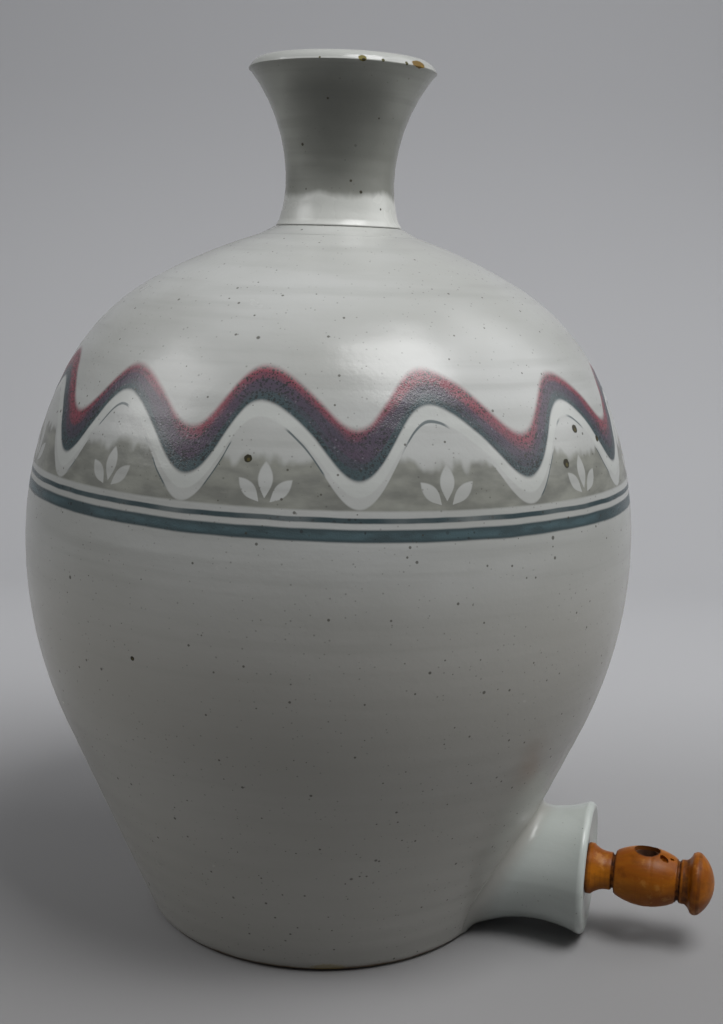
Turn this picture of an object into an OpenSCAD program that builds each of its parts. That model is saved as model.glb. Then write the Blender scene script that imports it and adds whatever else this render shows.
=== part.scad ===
// Stoneware wine jar with a trumpet neck and a turned wooden tap.
// Millimetres. The origin is the centre of the foot on the table, +Z is up and the tap points along +X.

/* [Jar body] */
// Radius of the foot where the jar stands
foot_r = 70.5; // [60:0.5:85]
// Largest radius of the belly
belly_r = 121.5; // [110:0.5:135]
// Height of the largest radius above the table
belly_z = 155; // [140:1:175]
// Radius of the arc that rises to the belly from the straight lower wall
rise_arc_r = 177; // [120:1:200]
// Radius of the arc that leaves the belly for the shoulder
fall_arc_r = 150; // [130:1:180]
// Radius of the tighter arc round the shoulder
shoulder_arc_r = 85; // [60:1:110]
// Lean of the wall where the shoulder arc starts, in degrees from upright
shoulder_start = 27; // [20:1:35]
// Lean of the wall where the shoulder arc ends, in degrees from upright
shoulder_lean = 60; // [52:1:66]
// Radius of the flatter arc from the shoulder up to the neck
crown_arc_r = 210; // [170:1:280]
// Thickness of the thrown wall
wall = 6; // [4:0.5:8]
// Thickness of the floor above the foot recess
floor_t = 8; // [6:0.5:12]
// Width of the foot ring on the table
foot_ring_w = 10; // [7:0.5:16]
// Depth of the recess turned under the foot
foot_recess = 3; // [1.5:0.5:5]
// Radius of the rounded outer edge of the foot
foot_edge_r = 3.5; // [1:0.5:4]
// Height of the ring of slip on top of the jar that carries the neck
seat_rise = 3; // [2:0.1:4]
// Width of that ring's sloping side
seat_side = 5.5; // [4:0.1:8]
// Width of that ring's flat top outside the neck's foot
seat_ledge = 0.6; // [0.4:0.1:2]
// Height of the joint between the base and the flank section
base_top = 85; // [70:1:100]
// Height of the joint between the flank and the middle section
flank_top = 155; // [140:1:170]
// Height of the joint between the middle and the upper section
middle_top = 222; // [200:1:230]

/* [Neck] */
// Radius of the neck's foot on the jar
neck_foot_r = 24.4; // [23.6:0.2:26.4]
// Radius of the neck's waist
waist_r = 21.3; // [19:0.1:23]
// Height of the waist above the neck's foot
waist_h = 16.6; // [12:0.2:22]
// Height of the neck from its foot to the top of the lip
neck_h = 62.9; // [52:0.1:68]
// Radius of the lip's outer edge
rim_r = 36.2; // [31:0.2:42]
// Thickness of the neck's wall
neck_wall = 5; // [3.5:0.5:6]
// Height of the lip's sloping face from its outer edge to the top
lip_h = 4; // [3:0.1:6]
// Width of the lip's sloping face, measured inwards
lip_w = 4.2; // [3:0.1:6]
// Radius of the crown across the lip's face
lip_crown_r = 5.5; // [4.6:0.1:9]

/* [Neck stopper] */
// Length of the cork
stopper_len = 34; // [26:1:38]
// Depth of the cork's top below the lip
stopper_depth = 22.5; // [18:0.5:26]
// Lean of the cork's side, in degrees from upright
stopper_taper = 3; // [1:0.5:5]
// Chamfer round both ends of the cork
stopper_chamfer = 1.2; // [0.6:0.2:2]

/* [Tap boss] */
// Height of the tap's axis above the table
tap_z = 27.5; // [27:0.1:33]
// Distance of the boss's lip from the jar's axis
boss_reach = 114.5; // [109:0.5:120]
// Radius of the boss at its lip
boss_lip_r = 26.3; // [24.5:0.1:27]
// Radius of the boss at its waist
boss_waist_r = 22.8; // [20:0.2:24]
// Distance of the waist from the jar's axis
boss_waist_x = 95; // [88:0.5:99]
// Radius of the hollow curve between the lip and the wall
boss_flare_r = 50; // [40:1:70]
// Radius of the roll round the lip
boss_roll_r = 2.2; // [1.5:0.1:4]
// Depth of the hollow front face behind the lip
boss_dish = 1.5; // [0.5:0.1:3]
// Radius of the bore that holds the bung
boss_bore_r = 9.6; // [9:0.1:10]

/* [Tap bung] */
// Length of the cork bung
bung_len = 26; // [20:1:30]
// Depth of the bung's front below the boss's face
bung_depth = 1.5; // [1:0.5:4]
// Chamfer round the bung's inner end
bung_chamfer = 1.5; // [0.5:0.5:2.5]

/* [Tap] */
// Radius of the stem inside the bung
stem_r = 6.6; // [6:0.1:7.2]
// Length of the stem behind the collar
stem_len = 35.5; // [30:0.5:40]
// Length of the tapered lead at the stem's inner end
stem_lead = 8; // [4:1:12]
// Radius of the stem's tip
stem_tip_r = 5.4; // [4.6:0.1:5.8]
// Radius of the wine channel along the stem
channel_r = 3; // [2:0.1:3.5]
// Radius of the collar at the boss
collar_r = 10.1; // [9.8:0.1:11.5]
// Thickness of the collar's straight edge
collar_edge = 2.2; // [1:0.1:3]
// Length of the hollow curve from the collar down to the neck
collar_run = 6.2; // [4:0.1:7]
// Length of the straight neck before the first groove
tap_neck_len = 2.2; // [1.4:0.1:4]
// Radius of the neck before the first groove
tap_neck_r = 7.5; // [7:0.1:8]
// Radius of the bulb at its widest
bulb_r = 11.8; // [10.8:0.1:13]
// Length of the bulb between its two grooves
bulb_len = 25.6; // [23:0.1:29]
// Radius of the bulb where it meets its grooves
bulb_end_r = 8.2; // [7.6:0.1:9]
// Radius of the neck behind the second groove
knob_neck_r = 8.6; // [7.8:0.1:9.4]
// Length of that neck
knob_neck_len = 2.6; // [2:0.1:5]
// Radius of the knob at its widest
knob_r = 12.3; // [10.5:0.1:14]
// Length of the knob's flared back
knob_back_len = 4.4; // [3:0.1:6]
// Radius of the rounded rim of the knob
knob_roll_r = 2.6; // [1.5:0.1:3]
// Length of the knob's domed front
knob_dome_len = 7; // [5:0.1:9]
// Width of the turned grooves
groove_w = 1.4; // [0.8:0.1:2]
// Depth of the turned grooves
groove_depth = 0.9; // [0.4:0.1:1.2]

/* [Key hole] */
// Radius of the hole bored down through the bulb
key_hole_r = 5; // [4.4:0.1:5.8]
// Thickness of the cork liner in the hole
liner_t = 0.8; // [0.6:0.1:1.2]
// Depth of the liner's ends below the bulb's surface
liner_depth = 1.6; // [0.5:0.1:3]

/* [Fits] */
// Gap between a cork and the bore that it is pushed into
cork_gap = 0.06; // [0.04:0.01:0.1]
// Gap between the collar and the boss's face
collar_gap = 0.3; // [0.2:0.05:0.6]

/* [Hidden] */
$fn = 96;
clear_cut = 20;
band_overlap = 12;
clay = [0.80, 0.81, 0.78];
cork = [0.72, 0.55, 0.38];
wood = [0.72, 0.42, 0.14];

// Centres and meeting points of the body's arcs, each as [radius, height]
rise_c = [belly_r - rise_arc_r, belly_z];
foot_to_c = rise_c - [foot_r, 0];
foot_gap = norm(foot_to_c);
rise_lean = atan2(foot_to_c[0], foot_to_c[1]) + asin(rise_arc_r / foot_gap);
fall_c = [belly_r - fall_arc_r, belly_z];
shoulder_c = fall_c + (fall_arc_r - shoulder_arc_r) * [cos(shoulder_start), sin(shoulder_start)];
crown_c = shoulder_c + (shoulder_arc_r - crown_arc_r) * [cos(shoulder_lean), sin(shoulder_lean)];

function rise_pt(inset) = rise_c + (rise_arc_r - inset) * [cos(rise_lean), -sin(rise_lean)];
function fall_pt(inset) = fall_c + (fall_arc_r - inset) * [cos(shoulder_start), sin(shoulder_start)];
function shoulder_pt(inset) = shoulder_c + (shoulder_arc_r - inset) * [cos(shoulder_lean), sin(shoulder_lean)];
function lower_r(inset, z) = rise_pt(inset)[0] - (rise_pt(inset)[1] - z) * tan(rise_lean);
function crown_z(inset, r) = crown_c[1] + sqrt(pow(crown_arc_r - inset, 2) - pow(r - crown_c[0], 2));

foot_edge_c = [foot_r + foot_edge_r * (tan(rise_lean) - 1 / cos(rise_lean)), foot_edge_r];
foot_edge_top = foot_edge_r * (1 - sin(rise_lean));

seat_top_r = neck_foot_r + seat_ledge;
seat_r = seat_top_r + seat_side;
crown_top = crown_z(0, seat_r);
neck_z = crown_top + seat_rise;
rim_z = neck_z + neck_h;
waist_z = neck_z + waist_h;
throat_r = waist_r - neck_wall;

// Radius of an arc that leaves the upright and has moved out by run after a rise
function flare_radius(run, rise) = (pow(run, 2) + pow(rise, 2)) / (2 * run);

lip_edge = [rim_r, rim_z - lip_h];
lip_top = [rim_r - lip_w, rim_z];
lip_face = norm([lip_w, lip_h]);
lip_out = [lip_h, lip_w] / lip_face;
lip_crown_c = (lip_edge + lip_top) / 2 - sqrt(pow(lip_crown_r, 2) - pow(lip_face / 2, 2)) * lip_out;
flare_out_r = flare_radius(rim_r - waist_r, lip_edge[1] - waist_z);
flare_in_r = flare_radius(lip_top[0] - throat_r, rim_z - waist_z);
foot_flare_r = flare_radius(neck_foot_r - waist_r, waist_h);

stopper_top = rim_z - stopper_depth;
function stopper_r(z) = throat_r - cork_gap + (z - waist_z) * tan(stopper_taper);

boss_lip_x = boss_reach - boss_roll_r;
boss_root_x = lower_r(wall, tap_z) - wall;
boss_root_r = boss_lip_r - 0.5;
boss_face_x = boss_reach - boss_dish;
bung_front = boss_face_x - bung_depth;
bung_r = boss_bore_r - cork_gap;
bung_bore_r = stem_r + cork_gap;

collar_x = boss_face_x + collar_gap;
groove_1_x = collar_x + collar_edge + collar_run + tap_neck_len;
bulb_x = groove_1_x + bulb_len / 2;
groove_2_x = groove_1_x + bulb_len;
knob_x = groove_2_x + knob_neck_len + knob_back_len;
tap_end = knob_x + knob_dome_len;
bulb_sag = bulb_r - bulb_end_r;
bulb_arc_r = (pow(bulb_sag, 2) + pow(bulb_len / 2, 2)) / (2 * bulb_sag);
collar_drop = collar_r - tap_neck_r;
collar_arc_r = (pow(collar_drop, 2) + pow(collar_run, 2)) / (2 * collar_drop);
dome_x = knob_x + knob_roll_r * sin(45);
dome_r = knob_r - knob_roll_r * (1 - cos(45));
dome_arc_r = (pow(dome_r, 2) + pow(tap_end - dome_x, 2)) / (2 * (tap_end - dome_x));
liner_r = key_hole_r - cork_gap;
liner_bore_r = key_hole_r - liner_t;

// A band of a circle from height z0 to z1, out from the axis
module arc_band(c, r, z0, z1) {
    intersection() {
        translate(c) circle(r = r, $fn = 360);
        translate([0, z0]) square([c[0] + r, z1 - z0]);
    }
}

// Half section of the thrown body, set in from its outside by inset and cut off at the two heights
module body_section(inset, z_low, z_high) {
    lower = rise_pt(inset);
    fall = fall_pt(inset);
    upper = shoulder_pt(inset);
    polygon([[0, z_low], [lower_r(inset, z_low), z_low], lower, [0, lower[1]]]);
    arc_band(rise_c, rise_arc_r - inset, lower[1] - band_overlap, belly_z);
    arc_band(fall_c, fall_arc_r - inset, belly_z - band_overlap, fall[1]);
    arc_band(shoulder_c, shoulder_arc_r - inset, fall[1] - band_overlap, upper[1] + band_overlap / 2);
    arc_band(crown_c, crown_arc_r - inset, upper[1], z_high);
}

module body_outside() {
    rotate_extrude() body_section(0, 0, crown_top);
}

module along_x() {
    rotate([0, 90, 0]) children();
}

// Half section of the thrown wall with its floor, foot ring and mouth
module wall_section() {
    difference() {
        union() {
            body_section(0, 0, crown_top);
            polygon([[0, crown_top - wall], [seat_r - wall, crown_top - wall], [seat_r, crown_top],
                     [seat_top_r, neck_z], [0, neck_z]]);
        }
        body_section(wall, foot_recess + floor_t, crown_z(wall, throat_r));
        translate([0, foot_recess + floor_t]) square([throat_r, neck_z]);
        translate([0, -clear_cut]) square([foot_r - foot_ring_w, clear_cut + foot_recess]);
        difference() {
            translate([foot_edge_c[0], -clear_cut]) square([clear_cut, clear_cut + foot_edge_top]);
            translate(foot_edge_c) circle(r = foot_edge_r);
        }
    }
}

// One thrown section of the body, from height z0 to z1
module thrown_section(z0, z1) {
    rotate_extrude() intersection() {
        wall_section();
        translate([0, z0]) square([2 * belly_r, z1 - z0]);
    }
}

module jar_base() {
    color(clay) difference() {
        thrown_section(0, base_top);
        translate([0, 0, tap_z]) along_x() cylinder(r = boss_bore_r, h = belly_r);
    }
}

module jar_flank() {
    color(clay) thrown_section(base_top, flank_top);
}

module jar_middle() {
    color(clay) thrown_section(flank_top, middle_top);
}

module jar_upper() {
    color(clay) thrown_section(middle_top, neck_z);
}

// Half section of the neck's wall and its sloping, crowned lip
module neck_section() {
    foot_c = [waist_r + foot_flare_r, waist_z];
    intersection() {
        difference() {
            translate([throat_r + flare_in_r, waist_z]) circle(r = flare_in_r, $fn = 360);
            translate([waist_r + flare_out_r, waist_z]) circle(r = flare_out_r, $fn = 360);
        }
        polygon([[0, waist_z], [rim_r + (lip_edge[1] - waist_z) * lip_w / lip_h, waist_z],
                 [0, rim_z + lip_top[0] * lip_h / lip_w]]);
    }
    intersection() {
        translate(lip_crown_c) circle(r = lip_crown_r);
        polygon([lip_edge, (lip_edge + lip_top) / 2 - lip_out, lip_top, lip_top + lip_w * lip_out,
                 lip_edge + lip_w * lip_out]);
    }
    intersection() {
        difference() {
            translate(foot_c) circle(r = foot_flare_r + neck_wall, $fn = 360);
            translate(foot_c) circle(r = foot_flare_r, $fn = 360);
        }
        translate([0, neck_z]) square([neck_foot_r, waist_h]);
    }
}

module neck() {
    color(clay) rotate_extrude() difference() {
        neck_section();
        seat_top = stopper_top + stopper_chamfer;
        polygon([[0, neck_z], [stopper_r(neck_z) + cork_gap, neck_z],
                 [stopper_r(seat_top) + cork_gap, seat_top], [0, seat_top]]);
    }
}

module neck_stopper() {
    low = stopper_top - stopper_len;
    color(cork) rotate_extrude() polygon([
        [0, low], [stopper_r(low) - stopper_chamfer, low], [stopper_r(low), low + stopper_chamfer],
        [stopper_r(stopper_top), stopper_top - stopper_chamfer],
        [stopper_r(stopper_top) - stopper_chamfer, stopper_top], [0, stopper_top]]);
}

// Half section of the boss round the tap's axis, as [radius, distance from the jar's axis]
module boss_section() {
    difference() {
        translate([0, boss_root_x]) square([boss_root_r, boss_lip_x - boss_root_x]);
        translate([boss_waist_r + boss_flare_r, boss_waist_x]) circle(r = boss_flare_r, $fn = 360);
    }
    roll_mid_r = boss_lip_r - boss_roll_r;
    translate([roll_mid_r, boss_lip_x]) circle(r = boss_roll_r);
    polygon([[0, boss_lip_x], [roll_mid_r, boss_lip_x], [roll_mid_r, boss_reach],
             [boss_bore_r, boss_face_x], [0, boss_face_x]]);
}

module tap_boss() {
    color(clay) difference() {
        translate([0, 0, tap_z]) along_x() rotate_extrude() difference() {
            boss_section();
            square([boss_bore_r, boss_reach + clear_cut]);
        }
        body_outside();
    }
}

module tap_bung() {
    back = bung_front - bung_len;
    color(cork) translate([0, 0, tap_z]) along_x() rotate_extrude() polygon([
        [bung_bore_r, back], [bung_r - bung_chamfer, back], [bung_r, back + bung_chamfer],
        [bung_r, bung_front], [bung_bore_r, bung_front]]);
}

// Half section of the turned tap round its axis, as [radius, distance from the jar's axis]
module tap_section() {
    tip = collar_x - stem_len;
    polygon([[0, tip], [stem_tip_r, tip], [stem_r, tip + stem_lead], [stem_r, collar_x], [0, collar_x]]);
    translate([0, collar_x]) square([collar_r, collar_edge]);
    neck_x = collar_x + collar_edge + collar_run;
    difference() {
        translate([0, collar_x + collar_edge]) square([collar_r, collar_run]);
        translate([tap_neck_r + collar_arc_r, neck_x]) circle(r = collar_arc_r);
    }
    translate([0, neck_x]) square([tap_neck_r, tap_neck_len]);
    arc_band([bulb_r - bulb_arc_r, bulb_x], bulb_arc_r, groove_1_x, groove_2_x);
    translate([0, groove_2_x]) square([knob_neck_r, knob_neck_len]);
    polygon([[0, knob_x - knob_back_len], [knob_neck_r, knob_x - knob_back_len],
             [knob_r - knob_roll_r * (1 - cos(45)), knob_x - knob_roll_r * sin(45)], [0, knob_x]]);
    translate([knob_r - knob_roll_r, knob_x]) circle(r = knob_roll_r);
    translate([0, knob_x - knob_roll_r]) square([knob_r - knob_roll_r, 2 * knob_roll_r]);
    arc_band([0, tap_end - dome_arc_r], dome_arc_r, dome_x, tap_end);
}

module tap_solid() {
    translate([0, 0, tap_z]) along_x() rotate_extrude() difference() {
        tap_section();
        for (x = [groove_1_x, groove_2_x]) {
            r = x == groove_1_x ? tap_neck_r : knob_neck_r;
            translate([r - groove_depth, x - groove_w / 2]) square([clear_cut, groove_w]);
        }
    }
}

module key_bore(r) {
    translate([bulb_x, 0, tap_z - bulb_r - clear_cut]) cylinder(r = r, h = 2 * (bulb_r + clear_cut));
}

module tap_body() {
    color(wood) difference() {
        tap_solid();
        key_bore(key_hole_r);
        translate([0, 0, tap_z]) along_x() cylinder(r = channel_r, h = bulb_x);
    }
}

module key_liner() {
    color(cork) intersection() {
        difference() {
            key_bore(liner_r);
            key_bore(liner_bore_r);
            translate([0, 0, tap_z]) along_x() cylinder(r = channel_r, h = bulb_x);
        }
        translate([bulb_x, 0, tap_z]) along_x() translate([0, 0, -bulb_len / 2]) rotate_extrude()
            arc_band([bulb_r - bulb_arc_r, bulb_len / 2], bulb_arc_r - liner_depth, 0, bulb_len);
    }
}

jar_base();
jar_flank();
jar_middle();
jar_upper();
neck();
neck_stopper();
tap_boss();
tap_bung();
tap_body();
key_liner();
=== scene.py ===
"""Dresses the stoneware wine jar: thrown clay and glaze, painted bands, turned wood and cork."""
import logging
import math
from dataclasses import dataclass, field
from enum import Enum
from typing import Callable, Iterable, Protocol, Sequence

import bmesh
import bpy
from mathutils import Matrix, Vector, noise

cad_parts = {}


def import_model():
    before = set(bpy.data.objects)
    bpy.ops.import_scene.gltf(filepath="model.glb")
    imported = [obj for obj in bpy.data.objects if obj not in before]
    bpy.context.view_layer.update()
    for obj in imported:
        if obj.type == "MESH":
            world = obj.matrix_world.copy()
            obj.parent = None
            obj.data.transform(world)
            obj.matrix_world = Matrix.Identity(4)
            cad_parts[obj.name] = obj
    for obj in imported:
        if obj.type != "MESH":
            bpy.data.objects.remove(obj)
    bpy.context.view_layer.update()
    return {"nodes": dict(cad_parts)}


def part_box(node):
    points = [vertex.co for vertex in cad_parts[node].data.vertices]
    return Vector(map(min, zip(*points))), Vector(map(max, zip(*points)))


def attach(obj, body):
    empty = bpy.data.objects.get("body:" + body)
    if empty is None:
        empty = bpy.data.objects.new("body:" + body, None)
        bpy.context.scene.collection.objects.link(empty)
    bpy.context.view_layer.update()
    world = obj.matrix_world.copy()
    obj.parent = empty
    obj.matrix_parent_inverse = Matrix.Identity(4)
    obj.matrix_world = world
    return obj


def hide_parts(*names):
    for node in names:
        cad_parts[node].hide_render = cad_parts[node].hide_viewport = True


LOG = logging.getLogger("wine_jar")
MM = 0.001
Colour = tuple[float, float, float]
Triple = tuple[float, float, float]
Socket = bpy.types.NodeSocket


class Axis(Enum):
    """The line that a lathed piece turns about."""

    JAR = "jar"
    TAP = "tap"


class Body(Enum):
    """The rigid bodies that pieces ride on."""

    JAR = "jar"
    TAP = "tap"


class Slot(Enum):
    """Names of material slots."""

    GLAZE = "glaze"
    WOOD = "tap_wood"


def tinted(colour: Colour, amount: float) -> Colour:
    """A colour made darker or lighter."""
    return tuple(part * amount for part in colour)


def polar(r: float, azimuth: float, z: float) -> Vector:
    """The point at a distance from the jar's axis, an azimuth in degrees and a height."""
    a = math.radians(azimuth)
    return Vector((math.cos(a) * r, math.sin(a) * r, z))


def arc_radius(aside: float, along: float) -> float:
    """Radius of an arc that has moved aside so far after so much way along its tangent."""
    return (aside ** 2 + along ** 2) / (2 * aside)


def bend(first: Vector, corner: Vector, last: Vector, t: float) -> Vector:
    """A point of the curve from first to last that leans towards a corner."""
    return first * (1 - t) ** 2 + corner * 2 * t * (1 - t) + last * t * t


# Shader wiring


def feed(tree: bpy.types.NodeTree, socket: Socket, value: object) -> None:
    """Links an input to a wire or a socket, or sets it to a plain value.

    Args:
        tree: The tree that holds the input.
        socket: The input.
        value: What it gets.
    """
    source = value.socket if isinstance(value, Wire) else value
    if isinstance(source, Socket):
        tree.links.new(source, socket)
    else:
        socket.default_value = source


class Wire:
    """One value in a shader tree, which the operators extend with Math nodes."""

    def __init__(self, tree: bpy.types.NodeTree, socket: Socket) -> None:
        """Keeps the tree and the socket that carries the value."""
        self.tree = tree
        self.socket = socket

    def math(self, operation: str, *others: "Wire | float") -> "Wire":
        """Adds one Math node.

        Args:
            operation: Blender's name of the operation.
            others: The remaining inputs, as wires or numbers.

        Returns:
            The node's result.
        """
        node = self.tree.nodes.new("ShaderNodeMath")
        node.operation = operation
        for socket, value in zip(node.inputs, (self, *others)):
            feed(self.tree, socket, value)
        return Wire(self.tree, node.outputs[0])

    def __add__(self, other: "Wire | float") -> "Wire":
        """Sum."""
        return self.math("ADD", other)

    def __sub__(self, other: "Wire | float") -> "Wire":
        """Difference."""
        return self.math("SUBTRACT", other)

    def __mul__(self, other: "Wire | float") -> "Wire":
        """Product."""
        return self.math("MULTIPLY", other)

    def __truediv__(self, other: "Wire | float") -> "Wire":
        """Quotient."""
        return self.math("DIVIDE", other)

    def sin(self) -> "Wire":
        """Sine of an angle in radians."""
        return self.math("SINE")

    def abs(self) -> "Wire":
        """Size without sign."""
        return self.math("ABSOLUTE")

    def most(self, other: "Wire | float") -> "Wire":
        """The larger of two values."""
        return self.math("MAXIMUM", other)

    def flip(self) -> "Wire":
        """One minus the value."""
        return self.math("MULTIPLY_ADD", -1.0, 1.0)

    def smooth(self, low: "Wire | float", high: "Wire | float") -> "Wire":
        """Rises smoothly from 0 at low to 1 at high.

        Args:
            low: The value where the result is 0.
            high: The value where the result is 1.

        Returns:
            The smooth step.
        """
        node = self.tree.nodes.new("ShaderNodeMapRange")
        node.interpolation_type = "SMOOTHSTEP"
        for name, value in (("Value", self), ("From Min", low), ("From Max", high)):
            feed(self.tree, node.inputs[name], value)
        return Wire(self.tree, node.outputs["Result"])

    def cross(self, level: "Wire | float", before: float, after: float) -> "Wire":
        """Rises from 0 to 1 as the value crosses a level, from so far before it to so far after it."""
        return self.smooth(level - before, level + after)


class Loom:
    """Makes the nodes of one shader tree, for a material or a group."""

    def __init__(self, tree: bpy.types.NodeTree) -> None:
        """Keeps the tree that the nodes go into."""
        self.tree = tree

    def node(self, kind: str, **inputs: object) -> bpy.types.Node:
        """Adds a node and sets or links its inputs.

        Args:
            kind: Blender's type name of the node.
            inputs: Socket names, with spaces as underscores, and their values or wires.

        Returns:
            The new node.
        """
        node = self.tree.nodes.new(kind)
        for name, value in inputs.items():
            feed(self.tree, node.inputs[name.replace("_", " ")], value)
        return node

    def wire(self, socket: Socket) -> Wire:
        """Wraps a socket."""
        return Wire(self.tree, socket)

    def place(self) -> Socket:
        """The point on the piece in the row frame, in metres."""
        return self.tree.nodes.new("ShaderNodeTexCoord").outputs["Object"]

    def split(self, vector: Socket) -> tuple[Wire, Wire, Wire]:
        """The three parts of a vector."""
        node = self.node("ShaderNodeSeparateXYZ", Vector=vector)
        return tuple(self.wire(node.outputs[i]) for i in range(3))

    def height(self) -> Wire:
        """The height of the point on the piece."""
        return self.split(self.place())[2]

    def mix(self, amount: Wire, base: "Socket | Colour", over: "Socket | Colour") -> Socket:
        """Blends two colours.

        Args:
            amount: 0 for the base, 1 for the colour over it.
            base: A colour or a colour socket.
            over: A colour or a colour socket.

        Returns:
            The blended colour.
        """
        node = self.tree.nodes.new("ShaderNodeMix")
        node.data_type = "RGBA"
        feed(self.tree, node.inputs["Factor"], amount)
        by_type = [socket for socket in node.inputs if socket.type == "RGBA"]
        for socket, colour in zip(by_type, (base, over)):
            feed(self.tree, socket, colour if isinstance(colour, Socket) else (*colour, 1.0))
        return next(socket for socket in node.outputs if socket.type == "RGBA")

    def bump(self, height: Wire, depth: float, strength: float) -> Socket:
        """A normal bent by a height that runs from 0 to 1 over a depth in metres."""
        node = self.node("ShaderNodeBump", Height=height, Distance=depth, Strength=strength)
        return node.outputs["Normal"]

    def group(self, tree: bpy.types.NodeTree, **inputs: object) -> Wire:
        """Places a node group.

        Args:
            tree: The group.
            inputs: The group's input values or sockets.

        Returns:
            The group's first output.
        """
        node = self.tree.nodes.new("ShaderNodeGroup")
        node.node_tree = tree
        for name, value in inputs.items():
            feed(self.tree, node.inputs[name], value)
        return self.wire(node.outputs[0])


@dataclass(frozen=True)
class Grain:
    """A noise over the surface.

    Attributes:
        scale: Cells to the metre.
        detail: Layers of finer noise.
        rough: Weight of the finer layers.
        drawn: Scale of the noise's own space along each axis, or None for even.
        window: The part of the noise that patches run over.
    """

    scale: float
    detail: float = 2.0
    rough: float = 0.5
    drawn: Triple | None = None
    window: tuple[float, float] = (0.0, 1.0)

    def over(self, loom: Loom, place: Socket) -> Wire:
        """The noise from 0 to 1.

        Args:
            loom: The material's loom.
            place: Where the noise is looked up.

        Returns:
            The noise.
        """
        if self.drawn:
            place = loom.node("ShaderNodeMapping", Vector=place, Scale=self.drawn).outputs["Vector"]
        node = loom.node("ShaderNodeTexNoise", Vector=place, Scale=self.scale, Detail=self.detail,
                         Roughness=self.rough)
        return loom.wire(node.outputs["Fac"])

    def about_zero(self, loom: Loom, place: Socket) -> Wire:
        """The noise from minus a half to a half."""
        return self.over(loom, place) - 0.5

    def patches(self, loom: Loom, place: Socket) -> Wire:
        """Soft patches that are 0 below the window and 1 above it."""
        return self.over(loom, place).smooth(*self.window)


def group_tree(name: str, inputs: dict[str, float | None],
               output: str) -> tuple[Loom, dict[str, Socket], Socket]:
    """Starts a shader node group.

    Args:
        name: The group's name.
        inputs: Input names with their default numbers, or None for a vector.
        output: Name of its one output, a number.

    Returns:
        The loom of the group, its inputs by name and its output.
    """
    tree = bpy.data.node_groups.new(name, "ShaderNodeTree")
    for label, default in inputs.items():
        kind = "NodeSocketVector" if default is None else "NodeSocketFloat"
        socket = tree.interface.new_socket(label, in_out="INPUT", socket_type=kind)
        if default is not None:
            socket.default_value = default
    tree.interface.new_socket(output, in_out="OUTPUT", socket_type="NodeSocketFloat")
    entry = tree.nodes.new("NodeGroupInput")
    leave = tree.nodes.new("NodeGroupOutput")
    return Loom(tree), {label: entry.outputs[label] for label in inputs}, leave.inputs[output]


def speck_group() -> bpy.types.NodeTree:
    """Round iron specks, of which only some cells of the pattern hold one.

    Returns:
        The group, with a Mask that is 1 inside a speck.
    """
    least, soft_from = 0.35, 0.6
    inputs = {"Vector": None, "Scale": 120.0, "Share": 0.1, "Size": 0.12}
    loom, given, mask = group_tree("iron_specks", inputs, "Mask")
    cell = loom.node("ShaderNodeTexVoronoi", Vector=given["Vector"], Scale=given["Scale"])
    own = loom.node("ShaderNodeSeparateColor", Color=cell.outputs["Color"])
    kept = loom.wire(own.outputs["Red"]).math("LESS_THAN", loom.wire(given["Share"]))
    radius = loom.wire(given["Size"]) * (loom.wire(own.outputs["Green"]) + least)
    near = loom.wire(cell.outputs["Distance"]).smooth(radius * soft_from, radius).flip()
    feed(loom.tree, mask, kept * near)
    return loom.tree


def throwing_group() -> bpy.types.NodeTree:
    """Fine rings left by the fingers and the sponge as a pot turns on the wheel.

    Returns:
        The group, with a Height from 0 to 1.
    """
    round_the_pot, ring_share = (0.06, 0.06, 1.0), 0.75
    inputs = {"Vector": None, "Rings": 180.0, "Grain": 900.0}
    loom, given, height = group_tree("throwing_rings", inputs, "Height")
    flat = loom.node("ShaderNodeMapping", Vector=given["Vector"], Scale=round_the_pot).outputs["Vector"]
    broad = loom.node("ShaderNodeTexNoise", Vector=flat, Scale=given["Rings"], Detail=3.0)
    grain = loom.node("ShaderNodeTexNoise", Vector=given["Vector"], Scale=given["Grain"], Detail=2.0)
    both = loom.wire(broad.outputs["Fac"]) * ring_share + loom.wire(grain.outputs["Fac"]) * (1 - ring_share)
    feed(loom.tree, height, both)
    return loom.tree


@dataclass(frozen=True)
class Effects:
    """The shader node groups that several finishes share."""

    specks: bpy.types.NodeTree
    throwing: bpy.types.NodeTree


@dataclass(frozen=True)
class Speckle:
    """Scattered specks.

    Attributes:
        scale: Cells to the metre.
        share: Share of the cells that hold a speck.
        size: Size of a speck within its cell.
        weight: How strongly it covers what is below.
    """

    scale: float
    share: float
    size: float
    weight: float = 1.0

    def mask(self, loom: Loom, effects: Effects, place: Socket, thinned: float = 1.0) -> Wire:
        """Lays the specks.

        Args:
            loom: The material's loom.
            effects: The shared node groups.
            place: Where the pattern is looked up.
            thinned: Part of the share that is kept.

        Returns:
            A mask of the specks, at their weight.
        """
        share = self.share * thinned
        specks = loom.group(effects.specks, Vector=place, Scale=self.scale, Share=share, Size=self.size)
        return specks * self.weight


def blank_material(name: str) -> tuple[bpy.types.Material, Loom, bpy.types.Node]:
    """Starts a material.

    Args:
        name: The material's name.

    Returns:
        The material, its loom and its Principled shader.
    """
    material = bpy.data.materials.new(name)
    material.use_nodes = True
    tree = material.node_tree
    return material, Loom(tree), tree.nodes["Principled BSDF"]


# Marks on the glaze


class Mark(Protocol):
    """Anything that lies on or bares the glaze: its colour, the roughness it adds and its place."""

    colour: Colour
    matt: float

    def mask(self, loom: Loom) -> Wire:
        """A mask that is 1 inside the mark."""


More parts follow.
